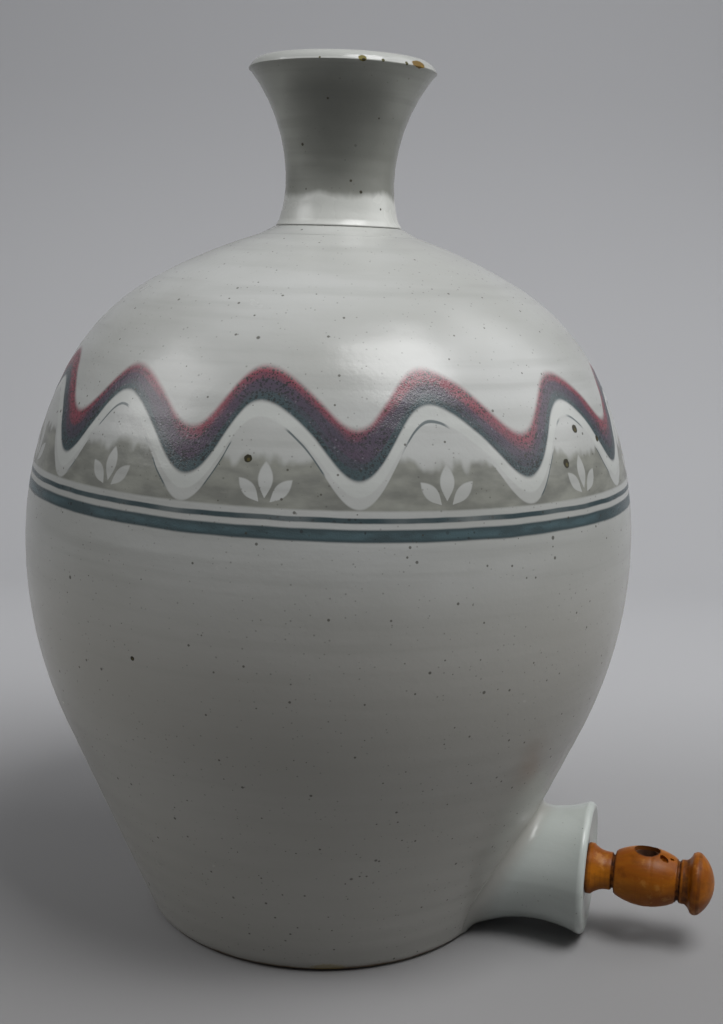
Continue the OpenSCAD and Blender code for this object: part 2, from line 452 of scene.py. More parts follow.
@dataclass(frozen=True)
class Blot:
    """A blot with a ragged edge, such as a chip, an iron spot, a flash of the fire or a soft patch of painted
    shade.

    Attributes:
        centre: Its middle in the row frame.
        size: Its half sizes.
        colour: Its colour.
        matt: Roughness that it adds.
        soft: Share of its size over which it fades out.
        cover: How strongly it covers the glaze.
        ragged: How far its edge wanders.
        grain: Cells to the metre of that wandering.
    """

    centre: Triple | Vector
    size: Triple
    colour: Colour
    matt: float = 0.5
    soft: float = 0.3
    cover: float = 1.0
    ragged: float = 0.9
    grain: float = 900.0

    def mask(self, loom: Loom) -> Wire:
        """Lays the blot.

        Args:
            loom: The material's loom.

        Returns:
            A mask that is 1 in the middle of the blot.
        """
        place = loom.place()
        total = Grain(self.grain).about_zero(loom, place) * self.ragged
        for part, middle, half in zip(loom.split(place), self.centre, self.size):
            away = (part - middle) / half
            total = total + away * away
        return total.smooth(1.0 - self.soft, 1.0).flip() * self.cover


@dataclass(frozen=True)
class GlazePool:
    """A band where the glaze gathers, between two heights, with a wavering upper edge drawn out into runs; at
    the neck's foot its paler colour is also painted light.
    """

    low: float
    high: float
    colour: Colour
    matt: float
    fade: float = 1.3 * MM
    waver: float = 7 * MM
    low_fade: float = 0.5 * MM
    runs: Grain = Grain(85.0, 3.0, drawn=(1.0, 1.0, 0.35))

    def mask(self, loom: Loom) -> Wire:
        """Lays the band.

        Args:
            loom: The material's loom.

        Returns:
            A mask that is 1 inside the band.
        """
        z = loom.height()
        level = z + self.runs.about_zero(loom, loom.place()) * self.waver
        return level.cross(self.high, self.fade, self.fade).flip() * z.cross(self.low, self.low_fade, 0.0)


@dataclass(frozen=True)
class SlipEdge:
    """The root of the boss, where its slip takes on the colour of the wall that it is luted to."""

    foot_r: float
    lean: float
    start: float = 0.2 * MM
    width: float = 8.5 * MM
    waver: float = 3 * MM
    cover: float = 0.95
    colour: Colour = (0.475, 0.466, 0.430)
    matt: float = 0.04
    wander: Grain = Grain(90.0)

    def mask(self, loom: Loom) -> Wire:
        """Lays the slip's edge.

        Args:
            loom: The material's loom.

        Returns:
            A mask that fades out with the distance from the straight lower wall.
        """
        place = loom.place()
        x, y, z = loom.split(place)
        away = (x * x + y * y).math("SQRT") - z * math.tan(self.lean) - self.foot_r
        wander = self.wander.about_zero(loom, place) * self.waver
        return (away + wander).smooth(self.start, self.width).flip() * self.cover


@dataclass(frozen=True)
class WipedFoot:
    """The wiped, unglazed edge of the foot, all round."""

    low: float = 0.8 * MM
    high: float = 2.88 * MM
    waver: float = 2.2 * MM
    colour: Colour = (0.16, 0.10, 0.05)
    matt: float = 0.5
    wander: Grain = Grain(120.0, 3.0)

    def mask(self, loom: Loom) -> Wire:
        """A thin ragged line round the foot."""
        level = loom.height() + self.wander.about_zero(loom, loom.place()) * self.waver
        return level.smooth(self.low, self.high).flip()


@dataclass(frozen=True)
class Spot:
    """Where an iron spot lies: degrees round the jar's axis, height and radius."""

    azimuth: float
    height: float
    size: float

    def on(self, wall: Callable[[float, float], Vector], colour: Colour, matt: float = 0.1) -> Blot:
        """The spot as a blot on a wall, which gives a point for an azimuth and a height."""
        return Blot(wall(self.azimuth, self.height), (self.size,) * 3, colour, matt)


# Finishes


@dataclass(frozen=True)
class BandPlace:
    """Where a point of the wall lies in the painted bands.

    Attributes:
        place: The point itself.
        z: Its height.
        turn: Its angle round the jar.
        reach: Its distance from the axis.
        drift: Small wander of the brush.
        angle: The wave's own angle, with a crest at a quarter turn.
        swing: The wave, from about -1 to 1.
        level: The height with the wander in it.
        top: Upper edge of the ribbon.
        low: Lower edge of the ribbon.
        halo: Lower edge of the bare band under the ribbon.
    """

    place: Socket
    z: Wire
    turn: Wire
    reach: Wire
    drift: Wire
    angle: Wire
    swing: Wire
    level: Wire
    top: Wire
    low: Wire
    halo: Wire


@dataclass(frozen=True)
class PaintedBands:
    """The running wave, the leaf border and the stripes round the shoulder."""

    waves: int = 12
    phase: float = 0.35
    second_wave: float = 0.13
    second_phase: float = 0.7
    top_mid: float = 222.1 * MM
    top_swing: float = 8.9 * MM
    low_mid: float = 209.8 * MM
    low_swing: float = 11.8 * MM
    halo_mid: float = 203.0 * MM
    halo_swing: float = 13.6 * MM
    wash_low: float = 187.5 * MM
    wash_top: float = 196.0 * MM
    thin_z: float = 184.6 * MM
    thin_half: float = 0.9 * MM
    thick_z: float = 179.7 * MM
    thick_half: float = 2.1 * MM
    leaf_len: float = 15 * MM
    leaf_spread: float = 0.78
    leaf_start: float = 0.20
    leaf_width: float = 0.40
    outer_leaf_less: float = 0.12
    red: Colour = (0.25, 0.045, 0.070)
    plum: Colour = (0.066, 0.038, 0.072)
    slate: Colour = (0.034, 0.064, 0.074)
    wash: Colour = (0.210, 0.213, 0.184)
    pale: Colour = (0.58, 0.60, 0.575)
    soot: Colour = (0.006, 0.008, 0.010)
    frost_colour: Colour = (0.26, 0.25, 0.28)
    drift: Grain = Grain(42.0)
    hand: Grain = Grain(14.0, 1.0)
    streak: Grain = Grain(75.0, 3.0, drawn=(1.0, 1.0, 2.5))
    strokes: Grain = Grain(120.0, drawn=(1.0, 1.0, 0.25))
    outline_gaps: Grain = Grain(55.0, 1.0, window=(0.50, 0.58))
    brush: Grain = Grain(1.6, 4.0, 0.6)
    cool: Grain = Grain(26.0, window=(0.35, 0.65))
    warm: Grain = Grain(17.0)
    clump: Grain = Grain(48.0, window=(0.30, 0.60))
    press: Grain = Grain(38.0, 3.0, drawn=(1.0, 1.0, 0.3), window=(0.25, 0.6))
    dust: tuple[Speckle, ...] = (
        Speckle(1500.0, 0.75, 0.52), Speckle(950.0, 0.60, 0.50), Speckle(620.0, 0.25, 0.36),
    )
    frost: Speckle = Speckle(900.0, 0.16, 0.34, 0.35)

    def paint(self, loom: Loom, effects: Effects, ground: Socket) -> tuple[Socket, Wire]:
        """Lays the painted bands over the ground glaze.

        Args:
            loom: The material's loom.
            effects: The shared node groups.
            ground: The glaze's own colour.

        Returns:
            The painted colour, and a mask of where pigment lies.
        """
        at = self._locate(loom)
        streak = self.streak.over(loom, at.place)
        clump = self.clump.patches(loom, at.place)
        dust = [speckle.mask(loom, effects, at.place) for speckle in self.dust]

        colour = self._border(loom, at, ground, streak)
        ribbon = self._ribbon(loom, at)
        for specks in dust:
            ribbon = loom.mix(specks * (clump * 0.55 + 0.35), ribbon, self.soot)
        ribbon = loom.mix(self.frost.mask(loom, effects, at.place), ribbon, self.frost_colour)
        body = at.level.cross(at.low, 0.7 * MM, 0.7 * MM) * at.level.cross(at.top, 1.2 * MM, 1.8 * MM).flip()
        colour = loom.mix(body * 0.94, colour, ribbon)

        thin_stripe_and_neck_shade = (at.z + at.drift * (1.0 * MM) - self.thin_z).abs() / self.thin_half
        thick = (at.z + at.drift * (0.8 * MM) - self.thick_z).abs() / self.thick_half
        press = self.press.patches(loom, at.place) * 0.35 + 0.62
        stripes = (thin_stripe_and_neck_shade.smooth(0.6, 1.3).flip() * press).most(thick.smooth(0.78, 1.2).flip() * 0.95)
        heart = thick.smooth(0.25, 0.85).flip() * streak.smooth(0.35, 0.65)
        stripe = loom.mix(heart, tinted(self.slate, 0.9), tinted(self.slate, 1.7))
        stripe = loom.mix(dust[-1] * clump * 0.7, stripe, self.soot)
        return loom.mix(stripes, colour, stripe), body.most(stripes)

    def _locate(self, loom: Loom) -> BandPlace:
        """Works out where a point lies in the bands.

        Args:
            loom: The material's loom.

        Returns:
            The point's place.
        """
        place = loom.place()
        x, y, z = loom.split(place)
        turn = y.math("ARCTAN2", x)
        drift = self.drift.about_zero(loom, place)
        hand = self.hand.about_zero(loom, place)
        angle = turn * float(self.waves) + self.phase + hand * 0.9
        swing = angle.sin() + (angle * 2.0 + self.second_phase).sin() * self.second_wave
        return BandPlace(
            place, z, turn, (x * x + y * y).math("SQRT"), drift, angle, swing,
            level=z + drift * (1.6 * MM),
            top=swing * self.top_swing + self.top_mid + hand * (9 * MM),
            low=swing * self.low_swing + self.low_mid,
            halo=swing * self.halo_swing + self.halo_mid,
        )

    def _border(self, loom: Loom, at: BandPlace, ground: Socket, streak: Wire) -> Socket:
        """Lays the grey wash with its leaves, the pale edge under the ribbon and the broken outline.

        Args:
            loom: The material's loom.
            at: Where a point lies.
            ground: The glaze's own colour.
            streak: Brush marks along the wash.

        Returns:
            The colour.
        """
        ceiling = self.strokes.over(loom, at.place) * (16 * MM) + self.wash_top - at.swing * (2 * MM)
        below = at.level.cross(at.halo, 0.5 * MM, 0.4 * MM).flip()
        under = below * at.z.cross(ceiling, 2.2 * MM, 1.2 * MM).flip()
        wash = at.z.cross(self.wash_low, 0.4 * MM, 0.6 * MM) * under
        grey = loom.mix(streak.smooth(0.30, 0.70), tinted(self.wash, 0.72), tinted(self.wash, 1.35))
        colour = loom.mix(wash * 0.85 * self._leaves(at).flip(), ground, grey)
        edge = at.level.smooth(at.low - 5.5 * MM, at.low - 4.5 * MM)
        edge = edge * at.level.smooth(at.low - 1.2 * MM, at.low - 0.4 * MM).flip()
        colour = loom.mix(edge * 0.6, colour, self.pale)
        gap = (at.level - at.halo + at.drift * (3 * MM)).abs()
        stroke = gap.smooth(0.25 * MM, 0.6 * MM).flip() * self.outline_gaps.patches(loom, at.place)
        return loom.mix(stroke * 0.75, colour, self.slate)

    def _ribbon(self, loom: Loom, at: BandPlace) -> Socket:
        """Mixes the wave's colour: slate below, plum in the middle and red along the top.

        Args:
            loom: The material's loom.
            at: Where a point lies.

        Returns:
            The colour.
        """
        depth = (at.level - at.low) / (at.top - at.low)
        flow = loom.node("ShaderNodeCombineXYZ", X=at.turn * 5.0, Y=depth * 4.0)
        brush = self.brush.about_zero(loom, flow.outputs["Vector"])
        ribbon = loom.mix((depth + brush * 0.7).smooth(0.12, 0.50), self.slate, self.plum)
        ribbon = loom.mix(self.cool.patches(loom, at.place) * 0.32, ribbon, self.slate)
        warm = self.warm.about_zero(loom, at.place)
        return loom.mix((depth + warm * 1.3 + brush * 0.5).smooth(0.50, 0.88), ribbon, self.red)

    def _leaves(self, at: BandPlace) -> Wire:
        """Three plump brush dabs that fan out over the stripe under each crest.

        Args:
            at: Where a point lies.

        Returns:
            A mask that is 1 inside a dab.
        """
        from_crest = (at.angle - math.pi / 2).math("WRAP", math.pi, -math.pi)
        along = from_crest * at.reach / float(self.waves)
        up = at.z - self.wash_low
        far = (along * along + up * up).math("SQRT")
        fan = along.math("ARCTAN2", up) / self.leaf_spread
        rank = fan.math("ROUND")
        length = (rank.abs() * -self.outer_leaf_less + 1.0) * self.leaf_len
        run = (far / length - self.leaf_start) / (1.0 - self.leaf_start)
        plump = run.most(0.0).math("MINIMUM", 1.0).math("POWER", 0.75)
        width = (plump * math.pi).sin() * self.leaf_width
        inside = (fan - rank).abs().cross(width, 0.07, 0.02).flip()
        fanned = rank.abs().math("LESS_THAN", 1.5)
        return inside * fanned * run.smooth(0.0, 0.04) * run.smooth(0.96, 1.0).flip()


@dataclass(frozen=True)
class GlazeFinish:
    """Satin grey-white glaze over iron-specked stoneware."""

    effects: Effects
    pale: Colour = (0.545, 0.556, 0.545)
    grey: Colour = (0.445, 0.452, 0.432)
    low: Colour = (0.48, 0.462, 0.415)
    low_from: float = 185 * MM
    low_to: float = 120 * MM
    speck: Colour = (0.05, 0.045, 0.03)
    roughness: float = 0.25
    rough_swing: float = 0.10
    speckle: float = 1.0
    sheen: float = 0.45
    relief_depth: float = 0.22 * MM
    relief_strength: float = 0.4
    cloud: Grain = Grain(16.0, 4.0, drawn=(0.7, 0.7, 1.6), window=(0.32, 0.72))
    rings: Grain = Grain(210.0, 3.0, drawn=(0.05, 0.05, 1.0), window=(0.48, 0.76))
    orange_peel: Grain = Grain(420.0, 1.0)
    pigment_grain: Grain = Grain(1900.0)
    polish: Grain = Grain(70.0, 3.0)
    specks: tuple[Speckle, ...] = (
        Speckle(260.0, 0.42, 0.13, 0.72), Speckle(110.0, 0.22, 0.095, 0.75), Speckle(640.0, 0.26, 0.22, 0.34),
    )

    def material(self, name: str, bands: PaintedBands | None, marks: Sequence[Mark]) -> bpy.types.Material:
        """Builds the glaze.

        Args:
            name: The material's name.
            bands: The painted bands, or None for plain glaze.
            marks: Places where the glaze gathers, is stained or is off.

        Returns:
            The material.
        """
        material, loom, shader = blank_material(name)
        place = loom.place()
        colour = loom.mix(self.cloud.patches(loom, place), self.grey, self.pale)
        colour = loom.mix(self.rings.patches(loom, place) * 0.38, colour, tinted(self.grey, 0.82))
        relief = loom.group(self.effects.throwing, Vector=place, Rings=170.0, Grain=1100.0)
        relief = relief + self.orange_peel.over(loom, place) * 0.5
        if bands:
            lower = loom.height().smooth(self.low_to, self.low_from).flip()
            colour = loom.mix(lower * 0.7, colour, self.low)
            colour, pigment = bands.paint(loom, self.effects, colour)
            relief = relief + pigment * self.pigment_grain.over(loom, place) * 0.9
        for specks in self.specks:
            colour = loom.mix(specks.mask(loom, self.effects, place, self.speckle), colour, self.speck)
        rough = self.polish.over(loom, place) * self.rough_swing + (self.roughness - self.rough_swing / 2)
        for mark in marks:
            mask = mark.mask(loom)
            colour = loom.mix(mask, colour, mark.colour)
            rough = rough + mask * mark.matt
        feed(loom.tree, shader.inputs["Base Color"], colour)
        feed(loom.tree, shader.inputs["Roughness"], rough)
        bumped = loom.bump(relief, self.relief_depth, self.relief_strength)
        feed(loom.tree, shader.inputs["Normal"], bumped)
        shader.inputs["Specular IOR Level"].default_value = self.sheen
        return material


@dataclass(frozen=True)
class BurntRing:
    """A darkened ring round the tap: distance from the jar's axis, half width and strength."""

    x: float
    half: float
    weight: float


@dataclass(frozen=True)
class WoodFinish:
    """Turned, varnished hardwood with scorched grooves, and painted shade in the key hole."""

    light: Colour = (0.46, 0.148, 0.006)
    dark: Colour = (0.27, 0.070, 0.003)
    scorch: Colour = (0.040, 0.010, 0.004)
    worn: Colour = (0.52, 0.225, 0.045)
    # Painted shade on the wall of the key hole.
    hole_shade: Colour = (0.09, 0.026, 0.010)
    roughness: float = 0.38
    rough_swing: float = 0.16
    sheen: float = 0.20
    varnish: float = 0.05
    varnish_rough: float = 0.25
    fibre_depth: float = 0.12 * MM
    fibre_strength: float = 0.7
    fibre: Grain = Grain(640.0, 4.0, 0.6, (0.10, 1.0, 1.0), (0.42, 0.70))
    figure: Grain = Grain(130.0, 3.0, drawn=(0.22, 1.0, 1.0), window=(0.34, 0.68))
    grime: Grain = Grain(150.0, 4.0, 0.6, window=(0.50, 0.72))
    wear: Grain = Grain(120.0, 4.0, 0.65, window=(0.57, 0.66))
    turning: Grain = Grain(900.0, drawn=(1.0, 0.05, 0.05), window=(0.55, 0.75))
    ragged: Grain = Grain(420.0, 3.0, window=(0.35, 0.65))
    polish: Grain = Grain(210.0, 3.0)

    def material(self, rings: Sequence[BurntRing], hole_x: float, hole_r: float) -> bpy.types.Material:
        """Builds the wood.

        Args:
            rings: The scorched grooves and rubbed rings.
            hole_x: Distance of the bored hole from the jar's axis.
            hole_r: Radius of the hole, whose wall is darkened as painted shade.

        Returns:
            The material.
        """
        material, loom, shader = blank_material("turned_wood")
        place = loom.place()
        x, y, _ = loom.split(place)
        fibre = self.fibre.over(loom, place)
        colour = loom.mix(self.figure.patches(loom, place), self.dark, self.light)
        colour = loom.mix(fibre.smooth(*self.fibre.window) * 0.55, colour, tinted(self.light, 0.62))
        colour = loom.mix(self.grime.patches(loom, place) * 0.45, colour, tinted(self.dark, 0.45))
        colour = loom.mix(self.wear.patches(loom, place) * 0.45, colour, self.worn)
        colour = loom.mix(self.turning.patches(loom, place) * 0.35, colour, self.dark)
        across = x - hole_x
        from_hole = (across * across + y * y).math("SQRT")
        # Painted shade: the key hole's wall and rim are darkened.
        inside = from_hole.cross(hole_r, 0.2 * MM, 0.7 * MM).flip()
        colour = loom.mix(inside * 0.85, colour, self.hole_shade)
        burnt = self._burnt(loom, place, x, rings)
        colour = loom.mix(burnt, colour, self.scorch)
        rough = self.polish.over(loom, place) * self.rough_swing + (self.roughness - 0.06)
        rough = rough + burnt * 0.25 + inside * 0.2
        feed(loom.tree, shader.inputs["Base Color"], colour)
        feed(loom.tree, shader.inputs["Roughness"], rough)
        feed(loom.tree, shader.inputs["Normal"], loom.bump(fibre, self.fibre_depth, self.fibre_strength))
        shader.inputs["Specular IOR Level"].default_value = self.sheen
        shader.inputs["Coat Weight"].default_value = self.varnish
        shader.inputs["Coat Roughness"].default_value = self.varnish_rough
        return material

    def _burnt(self, loom: Loom, place: Socket, x: Wire, rings: Sequence[BurntRing]) -> Wire:
        """A ragged mask of every darkened ring.

        Args:
            loom: The material's loom.
            place: The point on the tap.
            x: Its distance along the tap.
            rings: The rings.

        Returns:
            The mask.
        """
        bands = [(x - ring.x).abs().smooth(ring.half * 0.75, ring.half * 1.9).flip() * ring.weight
                 for ring in rings]
        burnt = bands[0]
        for band in bands[1:]:
            burnt = burnt.most(band)
        return burnt * (self.ragged.patches(loom, place) * 0.5 + 0.5)


@dataclass(frozen=True)
class CorkFinish:
    """Cut cork with its grain and dark pits."""

    effects: Effects
    light: Colour = (0.50, 0.32, 0.17)
    dark: Colour = (0.33, 0.19, 0.09)
    pit: Colour = (0.10, 0.05, 0.022)
    roughness: float = 0.78
    pit_depth: float = 0.4 * MM
    pit_strength: float = 0.8
    pit_length: Triple = (1.0, 1.0, 0.35)
    mottle: Grain = Grain(260.0, 4.0, window=(0.35, 0.68))
    pits: Speckle = Speckle(330.0, 0.22, 0.34)

    def material(self, name: str) -> bpy.types.Material:
        """Builds the cork.

        Args:
            name: The material's name.

        Returns:
            The material.
        """
        material, loom, shader = blank_material(name)
        place = loom.place()
        mottle = self.mottle.over(loom, place)
        colour = loom.mix(mottle.smooth(*self.mottle.window), self.dark, self.light)
        long = loom.node("ShaderNodeMapping", Vector=place, Scale=self.pit_length).outputs["Vector"]
        pits = self.pits.mask(loom, self.effects, long)
        height = mottle * 0.5 + pits.flip() * 0.5
        feed(loom.tree, shader.inputs["Base Color"], loom.mix(pits * 0.9, colour, self.pit))
        feed(loom.tree, shader.inputs["Normal"], loom.bump(height, self.pit_depth, self.pit_strength))
        shader.inputs["Roughness"].default_value = self.roughness
        return material


# Lathed shapes


@dataclass
class Ring:
    """One ring of a lathed surface.

    Attributes:
        r: Distance from the axis.
        h: Place along the axis.
        swell: How far the maker's hand may move the ring, from 0 to 1.
    """

    r: float
    h: float
    swell: float = 0.0


@dataclass
class Outline:
    """A half section drawn from the axis round to the axis, with arcs cut into short steps."""

    step: float = 1.5 * MM
    rings: list[Ring] = field(default_factory=list)

    def to(self, r: float, h: float, swell: float = 0.0) -> "Outline":
        """Adds a straight stretch, cut into steps.

        Args:
            r: Radius of its end.
            h: Height of its end.
            swell: How much the hand shows on it.

        Returns:
            The outline itself.
        """
        if self.rings:
            last = self.rings[-1]
            count = max(1, round(math.hypot(r - last.r, h - last.h) / self.step))
            for i in range(1, count):
                t = i / count
                self.rings.append(Ring(last.r + (r - last.r) * t, last.h + (h - last.h) * t, swell))
        self.rings.append(Ring(r, h, swell))
        return self

    def arc(self, centre: Vector, radius: float, start: float, end: float, swell: float = 0.0) -> "Outline":
        """Adds an arc.

        Args:
            centre: Its centre as radius and height.
            radius: Its radius.
            start: Angle where it starts, in radians from outwards towards up.
            end: Angle where it ends.
            swell: How much the hand shows on it.

        Returns:
            The outline itself.
        """
        count = max(4, round(abs(end - start) * radius / self.step))
        for i in range(count + 1):
            a = start + (end - start) * i / count
            self.rings.append(Ring(centre[0] + radius * math.cos(a), centre[1] + radius * math.sin(a), swell))
        return self


def lathe(name: str, rings: Sequence[Ring], turns: int, axis: Axis, height: float = 0.0,
          hand: Callable[[Ring, float], float] | None = None) -> bpy.types.Object:
    """Turns a half section into a closed mesh.

    Args:
        name: The piece's name.
        rings: The section from axis to axis.
        turns: Vertices round each ring.
        axis: The line it turns about.
        height: Height of the tap's axis, where that is the line.
        hand: Gives how far a ring's point moves outwards, from the ring and its angle.

    Returns:
        The new piece.
    """
    on_axis = 1e-6
    mesh = bmesh.new()
    loops: list[list[bmesh.types.BMVert]] = []
    for ring in rings:
        count = turns if ring.r > on_axis else 1
        loop = []
        for i in range(count):
            a = 2 * math.pi * i / turns
            r = ring.r + (hand(ring, a) if hand and ring.swell else 0.0)
            if axis is Axis.JAR:
                point = (r * math.cos(a), r * math.sin(a), ring.h)
            else:
                point = (ring.h, r * math.cos(a), height + r * math.sin(a))
            loop.append(mesh.verts.new(point))
        loops.append(loop)
    for low, high in zip(loops, loops[1:]):
        for i in range(turns):
            j = (i + 1) % turns
            corners = [low[i % len(low)], low[j % len(low)], high[j % len(high)], high[i % len(high)]]
            corners = list(dict.fromkeys(corners))
            if len(corners) > 2:
                mesh.faces.new(corners)
    return finish_mesh(name, mesh)


def smooth_faces(data: bpy.types.Mesh, crease: float) -> None:
    """Shades a mesh smooth, but for edges sharper than so many degrees."""
    data.shade_smooth()
    data.set_sharp_from_angle(angle=math.radians(crease))


def finish_mesh(name: str, mesh: bmesh.types.BMesh, crease: float = 38.0) -> bpy.types.Object:
    """Makes an object of a mesh, with its normals outwards and its edges smooth.

    Args:
        name: The piece's name.
        mesh: The mesh, which is freed.
        crease: Edges sharper than this many degrees stay sharp.

    Returns:
        The new piece.
    """
    bmesh.ops.remove_doubles(mesh, verts=mesh.verts, dist=1e-7)
    bmesh.ops.recalc_face_normals(mesh, faces=mesh.faces)
    data = bpy.data.meshes.new(name)
    mesh.to_mesh(data)
    mesh.free()
    smooth_faces(data, crease)
    piece = bpy.data.objects.new(name, data)
    bpy.context.scene.collection.objects.link(piece)
    return piece


def carve(piece: bpy.types.Object, cutters: Iterable[bpy.types.Object], crease: float = 38.0) -> None:
    """Cuts shapes out of a piece and removes them.

    Args:
        piece: The piece that is cut.
        cutters: What is cut out of it.
        crease: Edges sharper than this many degrees stay sharp.
    """
    for cutter in cutters:
        cut = piece.modifiers.new("cut", "BOOLEAN")
        cut.operation = "DIFFERENCE"
        cut.solver = "EXACT"
        cut.object = cutter
        graph = bpy.context.evaluated_depsgraph_get()
        data = bpy.data.meshes.new_from_object(piece.evaluated_get(graph))
        piece.modifiers.clear()
        piece.data = data
        bpy.data.objects.remove(cutter, do_unlink=True)
    smooth_faces(piece.data, crease)


def rod(name: str, start: Vector, end: Vector, radius: float, sides: int = 64) -> bpy.types.Object:
    """A round rod, used as a drill.

    Args:
        name: Its name.
        start: Middle of one end.
        end: Middle of the other end.
        radius: Its radius.
        sides: Vertices round it.

    Returns:
        The rod.
    """
    mesh = bmesh.new()
    along = end - start
    turn = along.to_track_quat("Z", "Y").to_matrix().to_4x4()
    place = Matrix.Translation((start + end) / 2) @ turn
    bmesh.ops.create_cone(mesh, cap_ends=True, segments=sides, radius1=radius, radius2=radius,
                          depth=along.length, matrix=place)
    return finish_mesh(name, mesh)


def gouge(name: str, centre: Vector, size: Vector, tilt: float) -> bpy.types.Object:
    """A lumpy blob, used to chip an edge.

    Args:
        name: Its name.
        centre: Its middle.
        size: Its half sizes.
        tilt: Turn about the upright axis, in degrees.

    Returns:
        The blob.
    """
    lumps, lump_scale, spread = 0.28, 1.7, 900.0
    mesh = bmesh.new()
    turn = Matrix.Rotation(math.radians(tilt), 4, "Z")
    bmesh.ops.create_icosphere(mesh, subdivisions=3, radius=1.0)
    for vert in mesh.verts:
        vert.co *= 1.0 + lumps * noise.noise(vert.co * lump_scale + centre * spread)
    mesh.transform(Matrix.Translation(centre) @ turn @ Matrix.Diagonal((*size, 1.0)))
    return finish_mesh(name, mesh)


def settle(piece: bpy.types.Object, body: Body, slot: Slot, material: bpy.types.Material,
           *nodes: str) -> None:
    """Gives a piece its finish, the body that it rides on and the nodes that it stands for.

    Args:
        piece: The piece.
        body: The body it moves with.
        slot: Not used.
        material: Its finish.
        nodes: Nodes of the frame that it replaces.
    """
    piece.data.materials.clear()
    piece.data.materials.append(material)
    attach(piece, body.value)
    if nodes:
        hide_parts(*nodes)
    LOG.info("%s rides on %s with %d faces", piece.name, body.value, len(piece.data.polygons))


# Sub-assemblies


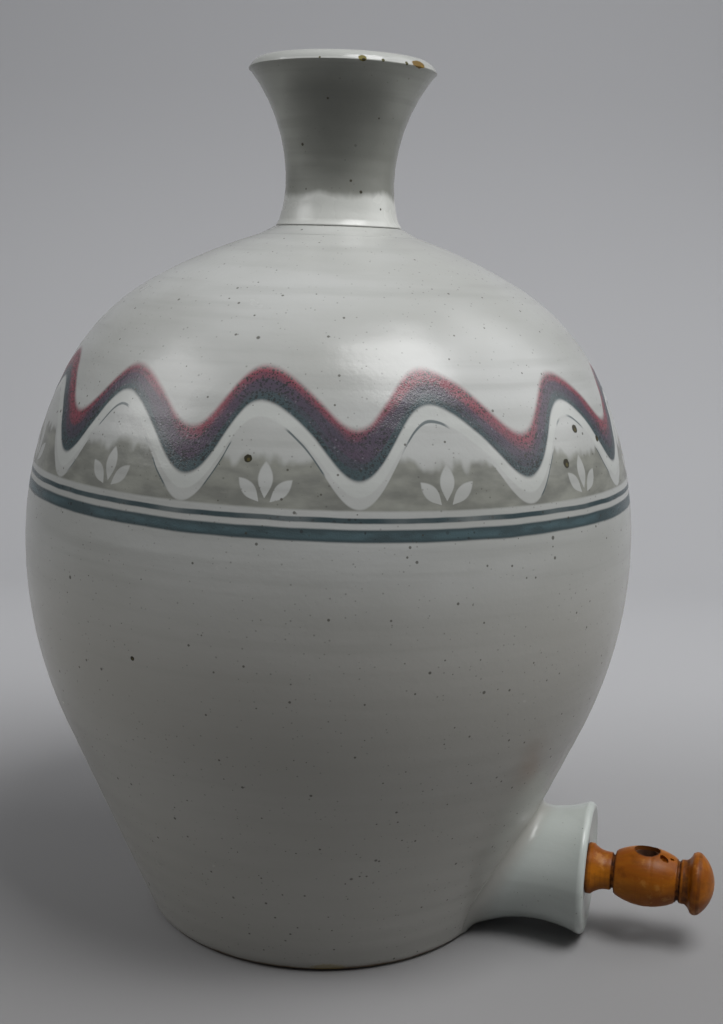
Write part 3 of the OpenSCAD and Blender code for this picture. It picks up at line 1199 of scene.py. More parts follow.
@dataclass
class JarBody:
    """The thrown body: a straight lower wall and four tangent arcs up to the ring under the neck."""

    foot_r: float = 70.5 * MM
    belly_r: float = 121.5 * MM
    belly_z: float = 155 * MM
    rise_arc_r: float = 177 * MM
    fall_arc_r: float = 150 * MM
    shoulder_arc_r: float = 85 * MM
    shoulder_start: float = math.radians(27)
    shoulder_lean: float = math.radians(60)
    crown_arc_r: float = 210 * MM
    wall: float = 6 * MM
    floor_z: float = 11 * MM
    recess: float = 3 * MM
    ring_w: float = 10 * MM
    ring_edge_r: float = 0.8 * MM
    foot_edge_r: float = 4.6 * MM
    foot_swell: float = 0.4
    seat_top_r: float = 25 * MM
    seat_rise: float = 3 * MM
    seat_side: float = 5.5 * MM
    seat_fillet_r: float = 12 * MM
    seat_edge_r: float = 0.8 * MM
    seat_edge_end: float = 0.78 * math.pi
    seat_groove: float = 0.8 * MM
    throat_r: float = 16.3 * MM
    fine_step: float = 0.4 * MM
    hidden_step: float = 6 * MM
    throw_pitch: float = 9.5 * MM
    throw_depth: float = 0.055 * MM
    oval: float = 0.18 * MM
    three_sided: float = 0.10 * MM
    turns: int = 288
    iron: Colour = (0.028, 0.024, 0.010)
    iron_core: Colour = (0.085, 0.070, 0.018)
    core_share: float = 0.42
    core_shift: Triple = (0.12, 0.10, -0.22)
    iron_spots: tuple[Spot, ...] = (
        Spot(-22.7, 210.8 * MM, 1.7 * MM), Spot(-14.7, 206.2 * MM, 1.3 * MM),
        Spot(-27.8, 199.8 * MM, 1.8 * MM), Spot(-86.9, 202.8 * MM, 1.5 * MM),
        Spot(-106.6, 131.1 * MM, 0.9 * MM), Spot(62.0, 172.0 * MM, 1.4 * MM),
        Spot(148.0, 118.0 * MM, 1.1 * MM), Spot(-160.0, 204.0 * MM, 1.2 * MM),
    )

    def __post_init__(self) -> None:
        """Works out where the arcs meet."""
        self.rise_c = Vector((self.belly_r - self.rise_arc_r, self.belly_z))
        gap = self.rise_c - Vector((self.foot_r, 0.0))
        self.rise_lean = math.atan2(gap[0], gap[1]) + math.asin(self.rise_arc_r / gap.length)
        self.fall_c = Vector((self.belly_r - self.fall_arc_r, self.belly_z))
        out = Vector((math.cos(self.shoulder_start), math.sin(self.shoulder_start)))
        self.shoulder_c = self.fall_c + (self.fall_arc_r - self.shoulder_arc_r) * out
        lean = Vector((math.cos(self.shoulder_lean), math.sin(self.shoulder_lean)))
        self.crown_c = self.shoulder_c + (self.shoulder_arc_r - self.crown_arc_r) * lean
        self.seat_r = self.seat_top_r + self.seat_side
        self.top_z = self.crown_z(0.0, self.seat_r) + self.seat_rise

    def crown_z(self, inset: float, r: float) -> float:
        """Height of the crown's arc at a radius, set in from the outside."""
        return self.crown_c[1] + math.sqrt((self.crown_arc_r - inset) ** 2 - (r - self.crown_c[0]) ** 2)

    def crown_turn(self, inset: float, r: float) -> float:
        """Angle of the crown's arc at a radius, set in from the outside."""
        return math.acos((r - self.crown_c[0]) / (self.crown_arc_r - inset))

    def rise_start(self, inset: float) -> Vector:
        """Where the straight lower wall runs into the belly's arc, set in from the outside."""
        out = Vector((math.cos(self.rise_lean), -math.sin(self.rise_lean)))
        return self.rise_c + (self.rise_arc_r - inset) * out

    def lower_r(self, inset: float, z: float) -> float:
        """Radius of the straight lower wall at a height."""
        end = self.rise_start(inset)
        return end[0] - (end[1] - z) * math.tan(self.rise_lean)

    def outside_r(self, z: float) -> float:
        """Radius of the outside up to the shoulder's arc, for what is luted or painted on there.

        Args:
            z: Height.

        Returns:
            The radius.
        """
        if z < self.rise_start(0.0)[1]:
            return self.lower_r(0.0, z)
        centre, arc_r = (self.rise_c, self.rise_arc_r) if z < self.belly_z else (self.fall_c, self.fall_arc_r)
        return centre[0] + math.sqrt(arc_r ** 2 - (z - self.belly_z) ** 2)

    def on_wall(self, azimuth: float, z: float) -> Vector:
        """The point of the outside at an azimuth in degrees and a height."""
        return polar(self.outside_r(z), azimuth, z)

    def outline(self) -> list[Ring]:
        """The half section from under the foot, up the outside and down the inside.

        Returns:
            The rings of the section.
        """
        line = Outline()
        self._foot(line)
        line.to(*self.rise_start(0.0), 1.0)
        line.arc(self.rise_c, self.rise_arc_r, -self.rise_lean, 0.0, 1.0)
        line.arc(self.fall_c, self.fall_arc_r, 0.0, self.shoulder_start, 1.0)
        line.arc(self.shoulder_c, self.shoulder_arc_r, self.shoulder_start, self.shoulder_lean, 1.0)
        self._seat(line)
        line.step = self.hidden_step
        line.to(self.throat_r, self.crown_z(self.wall, self.throat_r))
        inner_turn = self.crown_turn(self.wall, self.throat_r)
        line.arc(self.crown_c, self.crown_arc_r - self.wall, inner_turn, self.shoulder_lean)
        line.arc(self.shoulder_c, self.shoulder_arc_r - self.wall, self.shoulder_lean, self.shoulder_start)
        line.arc(self.fall_c, self.fall_arc_r - self.wall, self.shoulder_start, 0.0)
        line.arc(self.rise_c, self.rise_arc_r - self.wall, 0.0, -self.rise_lean)
        line.to(self.lower_r(self.wall, self.floor_z), self.floor_z).to(0.0, self.floor_z)
        return line.rings

    def _foot(self, line: Outline) -> None:
        """Adds the recess, the foot ring and its rounded outer edge.

        Args:
            line: The outline so far.
        """
        ring_in = self.foot_r - self.ring_w
        inner = self.ring_edge_r
        edge = self.foot_edge_r
        edge_r = self.foot_r + edge * (math.tan(self.rise_lean) - 1 / math.cos(self.rise_lean))
        line.to(0.0, self.recess).to(ring_in - inner, self.recess)
        line.arc(Vector((ring_in + inner, inner)), inner, math.pi, 1.5 * math.pi)
        line.to(edge_r, 0.0)
        line.arc(Vector((edge_r, edge)), edge, -0.5 * math.pi, -self.rise_lean, self.foot_swell)

    def _seat(self, line: Outline) -> None:
        """Adds the crown, and the raised ring that the neck is luted on.

        Args:
            line: The outline so far.
        """
        side = math.atan2(self.seat_side, self.seat_rise)
        reach = self.seat_fillet_r * math.tan((self.crown_turn(0.0, self.seat_r) - side) / 2)
        crown_end = self.crown_turn(0.0, self.seat_r + reach)
        crown_out = Vector((math.cos(crown_end), math.sin(crown_end)))
        fillet_c = self.crown_c + (self.crown_arc_r + self.seat_fillet_r) * crown_out
        edge_in = self.seat_edge_r * (1 - math.sin(side)) / math.cos(side)
        edge_top = Vector((self.seat_top_r - edge_in, self.top_z - self.seat_edge_r))
        line.arc(self.crown_c, self.crown_arc_r, self.shoulder_lean, crown_end, 1.0)
        line.step = self.fine_step
        line.arc(fillet_c, self.seat_fillet_r, math.pi + crown_end, math.pi + side)
        line.arc(edge_top, self.seat_edge_r, side, self.seat_edge_end)
        line.to(self.throat_r, self.top_z - self.seat_groove)

    def hand(self, ring: Ring, angle: float) -> float:
        """The potter's hand: soft spiral throwing rings and a slight wobble.

        Args:
            ring: The ring.
            angle: Angle round the jar.

        Returns:
            How far the point moves outwards.
        """
        spiral = ring.h / self.throw_pitch * 2 * math.pi + angle + 1.4 * math.sin(ring.h * 60)
        fade = 0.55 + 0.45 * math.sin(ring.h * 31 + 0.6)
        oval = self.oval * math.sin(2 * angle + ring.h * 9)
        three = self.three_sided * math.sin(3 * angle - ring.h * 14)
        return ring.swell * (self.throw_depth * fade * math.sin(spiral) + oval + three)

    def build(self, bore: bpy.types.Object) -> bpy.types.Object:
        """Throws the body and bores its wall for the tap.

        Args:
            bore: The drill.

        Returns:
            The body.
        """
        piece = lathe("thrown_body", self.outline(), self.turns, Axis.JAR, hand=self.hand)
        carve(piece, [bore])
        return piece

    def marks(self) -> list[Mark]:
        """The wiped foot with its ochre flash, and iron spots with a paler core.

        Returns:
            The marks, from the lowest layer up.
        """
        soft_patch = Blot((0.34 * self.foot_r, -0.94 * self.foot_r, 2.2 * MM), (8 * MM, 8 * MM, 2.6 * MM),
                     (0.33, 0.25, 0.08), matt=0.4, soft=0.8, cover=0.6)
        marks = [WipedFoot(), soft_patch]
        for spot in self.iron_spots:
            blot = spot.on(self.on_wall, self.iron)
            core = tuple(c + spot.size * shift for c, shift in zip(blot.centre, self.core_shift))
            marks += [blot, Blot(core, (spot.size * self.core_share,) * 3, self.iron_core, blot.matt)]
        return marks

    def dress(self, effects: Effects, bore: bpy.types.Object) -> None:
        """Builds the body, and glazes and paints it.

        Args:
            effects: The shared node groups.
            bore: The drill that bores its wall.
        """
        glaze = GlazeFinish(effects).material("painted_glaze", PaintedBands(), self.marks())
        settle(self.build(bore), Body.JAR, Slot.GLAZE, glaze,
               "jar_base", "jar_flank", "jar_middle", "jar_upper")


@dataclass
class Neck:
    """The trumpet neck, thrown by itself and luted on."""

    foot_z: float
    top_z: float
    foot_r: float = 24.4 * MM
    waist_r: float = 21.3 * MM
    waist_h: float = 16.6 * MM
    rim_r: float = 36.2 * MM
    wall: float = 5 * MM
    lip_h: float = 4 * MM
    lip_w: float = 4.2 * MM
    crown_r: float = 5.5 * MM
    edge_r: float = 0.5 * MM
    inner_edge_r: float = 0.95 * MM
    toe_r: float = 0.5 * MM
    toe_in: float = 0.2 * MM
    sunk: float = 0.4 * MM
    throw_pitch: float = 6.5 * MM
    throw_depth: float = 0.05 * MM
    oval: float = 0.12 * MM
    turns: int = 192
    chip_azimuth: float = -22.0
    chip_drop: float = 0.80
    nick_azimuth: float = -62.0
    nick_drop: float = 0.85
    speck_drop: float = 0.9
    lip_specks: tuple[tuple[float, float], ...] = (
        (-49.5, 0.7 * MM), (-33.0, 0.8 * MM), (-86.7, 0.45 * MM), (95.0, 0.8 * MM), (160.0, 0.6 * MM),
    )
    wall_specks: tuple[Spot, ...] = (
        Spot(-113.0, 30 * MM, 0.65 * MM), Spot(-62.0, 17 * MM, 0.55 * MM), Spot(-51.0, 13 * MM, 0.65 * MM),
        Spot(-28.0, 7 * MM, 0.5 * MM), Spot(-84.0, 46 * MM, 0.5 * MM), Spot(-40.0, 40 * MM, 0.45 * MM),
        Spot(20.0, 25 * MM, 0.6 * MM), Spot(120.0, 35 * MM, 0.6 * MM),
    )

    def on_lip(self, azimuth: float, drop: float) -> Vector:
        """The point of the lip at an azimuth in degrees, so much of its height below the top."""
        return polar(self.rim_r, azimuth, self.top_z - self.lip_h * drop)

    def on_wall(self, azimuth: float, height: float) -> Vector:
        """Finds a point of the outside.

        Args:
            azimuth: Degrees round the jar's axis.
            height: Height over the neck's foot.

        Returns:
            The point.
        """
        arc_r = arc_radius(self.foot_r - self.waist_r, self.waist_h)
        if height > self.waist_h:
            rise = self.top_z - self.lip_h - self.foot_z - self.waist_h
            arc_r = arc_radius(self.rim_r - self.waist_r, rise)
        r = self.waist_r + arc_r - math.sqrt(arc_r ** 2 - (height - self.waist_h) ** 2)
        return polar(r, azimuth, self.foot_z + height)

    def outline(self) -> list[Ring]:
        """The half section: foot, outside, sloping crowned lip and inside.

        Returns:
            The rings of the section.
        """
        waist_z = self.foot_z + self.waist_h
        throat = self.waist_r - self.wall
        under_z = self.foot_z - self.sunk
        edge_z = self.top_z - self.lip_h
        out_r = arc_radius(self.rim_r - self.waist_r, edge_z - waist_z)
        out_turn = math.asin((edge_z - waist_z) / out_r)
        in_r = arc_radius(self.rim_r - self.lip_w - throat, self.top_z - waist_z)
        in_turn = math.asin((self.top_z - waist_z) / in_r)
        foot_arc = arc_radius(self.foot_r - self.waist_r, self.waist_h)
        foot_turn = math.asin(self.waist_h / foot_arc)
        line = Outline(step=0.8 * MM)
        toe = Vector((self.foot_r - self.toe_in, self.foot_z + self.toe_r))
        line.to(throat, under_z).to(toe[0], under_z)
        line.arc(toe, self.toe_r, -0.45 * math.pi, 0.30 * math.pi)
        foot_c = Vector((self.waist_r + foot_arc, waist_z))
        line.arc(foot_c, foot_arc, math.pi + foot_turn * 0.86, math.pi, 0.6)
        line.arc(Vector((self.waist_r + out_r, waist_z)), out_r, math.pi, math.pi - out_turn * 0.985, 0.6)
        self._lip(line, out_turn, in_turn)
        line.step = 1.2 * MM
        line.arc(Vector((throat + in_r, waist_z)), in_r, math.pi - in_turn * 0.97, math.pi, 0.2)
        line.to(throat, under_z)
        return line.rings

    def _lip(self, line: Outline, out_turn: float, in_turn: float) -> None:
        """Adds the lip's outer edge, its crown and its inner edge.

        Args:
            line: The outline so far.
            out_turn: How far the outside has turned from upright.
            in_turn: How far the inside turns from upright.
        """
        edge = Vector((self.rim_r, self.top_z - self.lip_h))
        top = Vector((self.rim_r - self.lip_w, self.top_z))
        face = Vector((self.lip_h, self.lip_w)).normalized()
        chord = (edge - top).length
        crown_c = (edge + top) / 2 - face * math.sqrt(self.crown_r ** 2 - (chord / 2) ** 2)
        half = math.asin(chord / 2 / self.crown_r)
        lean = math.atan2(face[1], face[0])
        line.step = 0.25 * MM
        rim_c = edge + Vector((-0.62, 0.10)) * self.edge_r
        line.arc(rim_c, self.edge_r, -out_turn * 0.9, lean - half * 0.75)
        line.step = 0.6 * MM
        line.arc(crown_c, self.crown_r, lean - half * 0.86, lean + half * 0.74, 0.3)
        line.step = 0.3 * MM
        inner_c = top + Vector((0.15, -1.1)) * MM
        inner_end = math.pi - in_turn + (math.pi / 2 - out_turn) * 0.6
        line.arc(inner_c, self.inner_edge_r, lean + half * 0.9, inner_end)

    def hand(self, ring: Ring, angle: float) -> float:
        """Slight rings and wobble of the thrown neck.

        Args:
            ring: The ring.
            angle: Angle round the neck.

        Returns:
            How far the point moves outwards.
        """
        spiral = ring.h / self.throw_pitch * 2 * math.pi + angle
        oval = self.oval * math.sin(2 * angle + ring.h * 30)
        return ring.swell * (self.throw_depth * math.sin(spiral) + oval)

    def build(self) -> bpy.types.Object:
        """Throws the neck and chips its lip.

        Returns:
            The neck.
        """
        chip_c = self.on_lip(self.chip_azimuth, self.chip_drop) + Vector((0.9, -0.4, 0.9)) * MM
        nick_c = self.on_lip(self.nick_azimuth, self.nick_drop) * 1.006
        piece = lathe("thrown_neck", self.outline(), self.turns, Axis.JAR, hand=self.hand)
        carve(piece, [gouge("chip", chip_c, Vector((1.4, 3.6, 1.3)) * MM, self.chip_azimuth),
                      gouge("nick", nick_c, Vector((0.7, 1.1, 0.8)) * MM, self.nick_azimuth)])
        return piece

    def marks(self, front: float) -> list[Mark]:
        """Painted shade on the neck's front, the pools at foot and lip, the foot's paler as painted light,
        the chips and the iron specks.

        Args:
            front: Azimuth of the side that faces the camera, where the painted shade lies, in degrees.

        Returns:
            The marks, from the lowest layer up.
        """
        # Painted shade: a soft darker patch on the side of the neck that faces the camera.
        soft_patch = Blot(polar(self.waist_r, front, self.foot_z + 44 * MM), (24 * MM, 24 * MM, 34 * MM),
                     (0.155, 0.160, 0.145), matt=0.0, soft=1.0, cover=0.85, ragged=0.8, grain=45.0)
        below = self.foot_z - 1 * MM
        chip = self.on_lip(self.chip_azimuth, self.chip_drop)
        nick = self.on_lip(self.nick_azimuth, self.nick_drop)
        marks = [
            soft_patch,
            # Glaze gathers here in runs, and its paler colour is also painted light on the flaring foot.
            GlazePool(below, self.foot_z + 11.8 * MM, (0.62, 0.63, 0.60), 0.02, 1.8 * MM, 9 * MM),
            GlazePool(below, self.foot_z + 0.3 * MM, (0.33, 0.33, 0.31), 0.1, 0.4 * MM, 1 * MM),
            GlazePool(self.top_z - 3.6 * MM, self.top_z + 10 * MM, (0.46, 0.47, 0.45), -0.06),
            Blot(chip, (3.6 * MM, 4.4 * MM, 1.5 * MM), (0.155, 0.090, 0.012)),
            Blot(chip + Vector((1.6, 1.4, -0.6)) * MM, (1.5 * MM, 1.5 * MM, 0.9 * MM), (0.26, 0.165, 0.030)),
            Blot(nick, (1.7 * MM, 1.7 * MM, 1.3 * MM), (0.16, 0.13, 0.02)),
            Blot(nick + Vector((0.5, 0.0, -0.5)) * MM, (0.8 * MM, 0.8 * MM, 0.6 * MM), (0.03, 0.025, 0.008)),
        ]
        marks += [Blot(self.on_lip(azimuth, self.speck_drop), (size,) * 3, (0.06, 0.055, 0.012))
                  for azimuth, size in self.lip_specks]
        marks += [spot.on(self.on_wall, (0.05, 0.045, 0.03)) for spot in self.wall_specks]
        return marks

    def dress(self, effects: Effects, front: float) -> None:
        """Builds the neck and glazes it with a darker copy of the glaze, as painted shade.

        Args:
            effects: The shared node groups.
            front: Azimuth of the side with the painted shade, in degrees.
        """
        # Painted shade: the neck's glaze is a darker copy of the body's glaze, standing in for the shade on
        # the neck.
        thin_stripe_and_neck_shade = GlazeFinish(effects, pale=(0.375, 0.383, 0.352), grey=(0.255, 0.26, 0.236), speckle=0.45)
        glaze = thin_stripe_and_neck_shade.material("neck_painted_shade_glaze", None, self.marks(front))
        settle(self.build(), Body.JAR, Slot.GLAZE, glaze, "neck")


@dataclass
class TapBoss:
    """The flared boss, luted on the lower wall with a slip fillet."""

    jar: JarBody
    tap_z: float
    reach: float = 114.5 * MM
    lip_r: float = 26.3 * MM
    waist_r: float = 22.8 * MM
    waist_x: float = 95 * MM
    flare_r: float = 50 * MM
    roll_r: float = 2.2 * MM
    roll_end: float = math.radians(112)
    dish: float = 1.5 * MM
    bore_r: float = 9.6 * MM
    bore_edge: float = 0.8 * MM
    fillet: float = 4.5 * MM
    least_fillet: float = 0.6 * MM
    fillet_lead: float = 1.25
    feather: float = 0.05 * MM
    table_gap: float = 1.2 * MM
    table_ease: float = 0.7 * MM
    sunk: float = 0.4 * MM
    oval: float = 0.12 * MM
    dish_steps: int = 5
    roll_steps: int = 20
    flare_steps: int = 24
    fillet_steps: int = 14
    turns: int = 144

    def wall_x(self, r: float, angle: float) -> float:
        """Distance of the jar's outside along the tap's direction.

        Args:
            r: Radius about the tap's axis.
            angle: Angle about the tap's axis.

        Returns:
            The distance from the jar's axis.
        """
        z = self.tap_z + r * math.sin(angle)
        y = r * math.cos(angle)
        return math.sqrt(max(self.jar.outside_r(max(z, 0.0)) ** 2 - y * y, 0.0))

    def table_room(self, angle: float) -> float:
        """Largest radius about the tap that stays above the table, at an angle."""
        return (self.tap_z - self.table_gap) / max(-math.sin(angle), 0.05)

    def flare(self, x: float, angle: float) -> float:
        """Radius of the hollow curve, eased off above the table.

        Args:
            x: Distance from the jar's axis.
            angle: Angle about the tap's axis.

        Returns:
            The radius.
        """
        away = min(abs(x - self.waist_x), self.flare_r)
        free = self.waist_r + self.flare_r - math.sqrt(self.flare_r ** 2 - away ** 2)
        room = self.table_room(angle) - self.least_fillet
        ease = self.table_ease
        return free if room > 2 * free else -ease * math.log(math.exp(-free / ease) + math.exp(-room / ease))

    def section(self, angle: float) -> list[tuple[float, float]]:
        """Points as distance and radius, from the bore's back round the lip to the fillet.

        Args:
            angle: Angle about the tap's axis.

        Returns:
            The section, with the same count of points at every angle.
        """
        points = self._face(angle)
        start_x, start_r = points[-1]
        root_r, join_x = self._root(angle)
        spread = max(self.least_fillet, min(self.fillet, self.table_room(angle) - root_r))
        turn_x = min(join_x + self.fillet_lead * spread, start_x - 2 * MM)
        step = self.flare(start_x, angle) - start_r
        for i in range(1, self.flare_steps + 1):
            t = i / self.flare_steps
            x = start_x + (turn_x - start_x) * t
            points.append((x, self.flare(x, angle) - step * (1 - t) ** 2))
        first = Vector(points[-1])
        corner = Vector((join_x, root_r))
        last = Vector((self.wall_x(root_r + spread, angle) - self.feather, root_r + spread))
        curve = [bend(first, corner, last, i / self.fillet_steps) for i in range(1, self.fillet_steps + 1)]
        points += [(point[0], point[1]) for point in curve]
        points.append((last[0] - self.sunk, last[1]))
        return points

    def _face(self, angle: float) -> list[tuple[float, float]]:
        """The section's bore, dished face and rolled lip.

        Args:
            angle: Angle about the tap's axis.

        Returns:
            Points as distance and radius.
        """
        lip_x = self.reach - self.roll_r
        roll_mid = self.lip_r - self.roll_r
        face_x = self.reach - self.dish
        face_r = self.bore_r + self.bore_edge
        points = [(self.wall_x(self.bore_r, angle) - self.sunk, self.bore_r),
                  (face_x - self.bore_edge, self.bore_r), (face_x, face_r)]
        for i in range(1, self.dish_steps):
            t = i / self.dish_steps
            points.append((face_x + self.dish * t * t, face_r + (roll_mid - face_r) * t))
        start = -math.atan2(self.dish, roll_mid - self.bore_r) * 2
        for i in range(self.roll_steps + 1):
            a = start + (self.roll_end - start) * i / self.roll_steps
            points.append((lip_x + self.roll_r * math.cos(a), roll_mid + self.roll_r * math.sin(a)))
        return points

    def _root(self, angle: float) -> tuple[float, float]:
        """Where the hollow curve meets the jar's wall.

        Args:
            angle: Angle about the tap's axis.

        Returns:
            Its radius and distance.
        """
        rounds = 12
        r = self.waist_r
        for _ in range(rounds):
            r = self.flare(self.wall_x(r, angle), angle)
        return r, self.wall_x(r, angle)

    def drill(self) -> bpy.types.Object:
        """The drill that bores the jar's wall behind the boss."""
        start = Vector((0.0, 0.0, self.tap_z))
        return rod("drill", start, start + Vector((self.jar.belly_r, 0.0, 0.0)), self.bore_r)

    def build(self) -> bpy.types.Object:
        """Throws the boss and lutes it on.

        Returns:
            The boss.
        """
        mesh = bmesh.new()
        loops = []
        for i in range(self.turns):
            a = 2 * math.pi * i / self.turns
            hand = self.oval * math.sin(2 * a + 0.7)
            loop = []
            for x, r in self.section(a):
                r += hand if r > self.bore_r + 0.1 * MM else 0.0
                loop.append(mesh.verts.new((x, r * math.cos(a), self.tap_z + r * math.sin(a))))
            loops.append(loop)
        for here, there in zip(loops, loops[1:] + loops[:1]):
            for k, vert in enumerate(here):
                m = (k + 1) % len(here)
                mesh.faces.new((vert, there[k], there[m], here[m]))
        return finish_mesh("luted_boss", mesh, crease=50.0)

    def dress(self, effects: Effects) -> None:
        """Builds the boss and glazes it thickly, down to the wall's own colour at its root.

        Args:
            effects: The shared node groups.
        """
        thick = GlazeFinish(effects, pale=(0.63, 0.67, 0.64), grey=(0.52, 0.56, 0.53), roughness=0.20,
                            speckle=0.35)
        glaze = thick.material("boss_glaze", None, [SlipEdge(self.jar.foot_r, self.jar.rise_lean)])
        settle(self.build(), Body.JAR, Slot.GLAZE, glaze, "tap_boss")


@dataclass
class Tap:
    """The turned tap: stem, collar, bulb and knob on one axis."""

    axis_z: float
    collar_x: float
    stem_r: float = 6.6 * MM
    stem_len: float = 35.5 * MM
    stem_lead: float = 8 * MM
    stem_tip_r: float = 5.4 * MM
    channel_r: float = 3 * MM
    collar_r: float = 10.1 * MM
    collar_edge: float = 2.2 * MM
    collar_run: float = 6.2 * MM
    neck_r: float = 7.5 * MM
    neck_len: float = 2.2 * MM
    bulb_r: float = 11.8 * MM
    bulb_len: float = 25.6 * MM
    bulb_end_r: float = 8.2 * MM
    bulb_steps: int = 44
    knob_neck_r: float = 8.6 * MM
    knob_neck_len: float = 2.6 * MM
    knob_r: float = 12.3 * MM
    knob_back_len: float = 4.4 * MM
    knob_back_steps: int = 9
    knob_roll_r: float = 2.6 * MM
    knob_dome_len: float = 7 * MM
    groove_w: float = 1.4 * MM
    groove_depth: float = 0.9 * MM
    edge_r: float = 0.5 * MM
    hole_r: float = 5 * MM
    scribe_off: float = 1.9 * MM
    scribe_half: float = 0.3 * MM
    scribe_depth: float = 0.16 * MM
    turns: int = 128

    @property
    def groove_1(self) -> float:
        """Distance of the first groove from the jar's axis."""
        return self.collar_x + self.collar_edge + self.collar_run + self.neck_len

    @property
    def groove_2(self) -> float:
        """Distance of the second groove."""
        return self.groove_1 + self.bulb_len

    @property
    def hole_x(self) -> float:
        """Distance of the key hole, in the middle of the bulb."""
        return self.groove_1 + self.bulb_len / 2

    def outline(self) -> list[Ring]:
        """The half section from the end of the channel, over the outside, to the knob's tip.

        Returns:
            The rings of the section.
        """
        tip = self.collar_x - self.stem_len
        half = self.groove_w / 2
        edge = self.edge_r
        line = Outline(step=0.7 * MM)
        line.to(0.0, self.hole_x).to(self.channel_r, self.hole_x).to(self.channel_r, tip)
        line.to(self.stem_tip_r, tip).to(self.stem_r, tip + self.stem_lead).to(self.stem_r, self.collar_x)
        line.to(self.collar_r - edge, self.collar_x)
        line.arc(Vector((self.collar_r - edge, self.collar_x + edge)), edge, -0.5 * math.pi, 0.0)
        start = self.collar_x + self.collar_edge
        line.to(self.collar_r, start)
        arc_r = arc_radius(self.collar_r - self.neck_r, self.collar_run)
        sweep = math.asin(min(1.0, self.collar_run / arc_r))
        line.arc(Vector((self.neck_r + arc_r, start + self.collar_run)), arc_r, math.pi + sweep, math.pi)
        self._groove(line, self.groove_1, self.neck_r, self._bulb_radius(self.groove_1 + half))
        bulb_start = self.groove_1 + half + edge
        bulb_end = self.groove_2 - half - edge
        for i in range(self.bulb_steps + 1):
            x = bulb_start + (bulb_end - bulb_start) * i / self.bulb_steps
            line.rings.append(Ring(self._bulb_radius(x), x))
        self._groove(line, self.groove_2, self._bulb_radius(self.groove_2 - half), self.knob_neck_r)
        self._knob(line)
        return line.rings

    def _bulb_radius(self, x: float) -> float:
        """Radius of the bulb, with its scribed line.

        Args:
            x: Distance from the jar's axis.

        Returns:
            The radius.
        """
        arc_r = arc_radius(self.bulb_r - self.bulb_end_r, self.bulb_len / 2)
        away = x - self.hole_x
        scribed = math.exp(-((away - self.scribe_off) / self.scribe_half) ** 2) * self.scribe_depth
        return self.bulb_r - arc_r + math.sqrt(arc_r ** 2 - away ** 2) - scribed

    def _groove(self, line: Outline, x: float, before: float, after: float) -> None:
        """Adds a turned groove with softened edges.

        Args:
            line: The outline so far.
            x: Distance of the groove's middle.
            before: Radius before the groove.
            after: Radius after it.
        """
        half = self.groove_w / 2
        bottom = half * 0.35
        depth = min(before, after) - self.groove_depth
        line.to(before, x - half - self.edge_r)
        line.to(before - self.edge_r * 0.3, x - half)
        line.to(depth, x - bottom).to(depth, x + bottom)
        line.to(after - self.edge_r * 0.5, x + half)
        line.to(after, x + half + self.edge_r)

    def _knob(self, line: Outline) -> None:
        """Adds the neck, the rounded rim and the domed end of the knob.

        Args:
            line: The outline so far.
        """
        neck_end = self.groove_2 + self.knob_neck_len
        knob_x = neck_end + self.knob_back_len
        end = knob_x + self.knob_dome_len
        line.to(self.knob_neck_r, neck_end)
        quarter = math.pi / 4
        rim_c = Vector((self.knob_r - self.knob_roll_r, knob_x))
        meet = rim_c + self.knob_roll_r * Vector((math.cos(quarter), -math.sin(quarter)))
        first = Vector((self.knob_neck_r, neck_end))
        corner = first + Vector((0.3, 1.5)) * MM
        for i in range(1, self.knob_back_steps):
            line.rings.append(Ring(*bend(first, corner, meet, i / self.knob_back_steps)))
        line.arc(rim_c, self.knob_roll_r, -quarter, quarter)
        dome_x = knob_x + self.knob_roll_r * math.sin(quarter)
        dome_r = self.knob_r - self.knob_roll_r * (1 - math.cos(quarter))
        dome_arc = arc_radius(end - dome_x, dome_r)
        sweep = math.asin(dome_r / dome_arc)
        line.arc(Vector((0.0, end - dome_arc)), dome_arc, 0.5 * math.pi - sweep, 0.5 * math.pi)
        line.rings[-1].r = 0.0

    def build(self) -> bpy.types.Object:
        """Turns the tap, bores the key hole and chips its edge.

        Returns:
            The tap.
        """
        piece = lathe("turned_tap", self.outline(), self.turns, Axis.TAP, self.axis_z)
        top = Vector((self.hole_x, 0.0, self.axis_z + self.bulb_r))
        up = Vector((0.0, 0.0, self.bulb_r))
        carve(piece, [
            rod("drill", top - 4 * up, top + up, self.hole_r),
            gouge("chip", top + Vector((6.4, -3.4, -2.2)) * MM, Vector((2.3, 1.5, 1.5)) * MM, -28.0),
            gouge("nick", top + Vector((9.6, -2.0, -2.6)) * MM, Vector((1.2, 0.8, 0.7)) * MM, 15.0),
        ])
        return piece

    def dress(self) -> None:
        """Builds the tap and finishes its wood, with scorched grooves, rubbed edges and painted shade in the
        key hole.
        """
        knob_at = self.groove_2 + self.knob_neck_len
        rings = [BurntRing(groove, self.groove_w / 2, 1.0) for groove in (self.groove_1, self.groove_2)]
        rings += [
            BurntRing(knob_at + 0.2 * MM, 0.9 * MM, 0.75),
            BurntRing(knob_at + 5.4 * MM, 0.5 * MM, 0.45),
            BurntRing(self.collar_x, 0.8 * MM, 0.7),
        ]
        wood = WoodFinish().material(rings, self.hole_x, self.hole_r)
        settle(self.build(), Body.TAP, Slot.WOOD, wood, "tap_body")


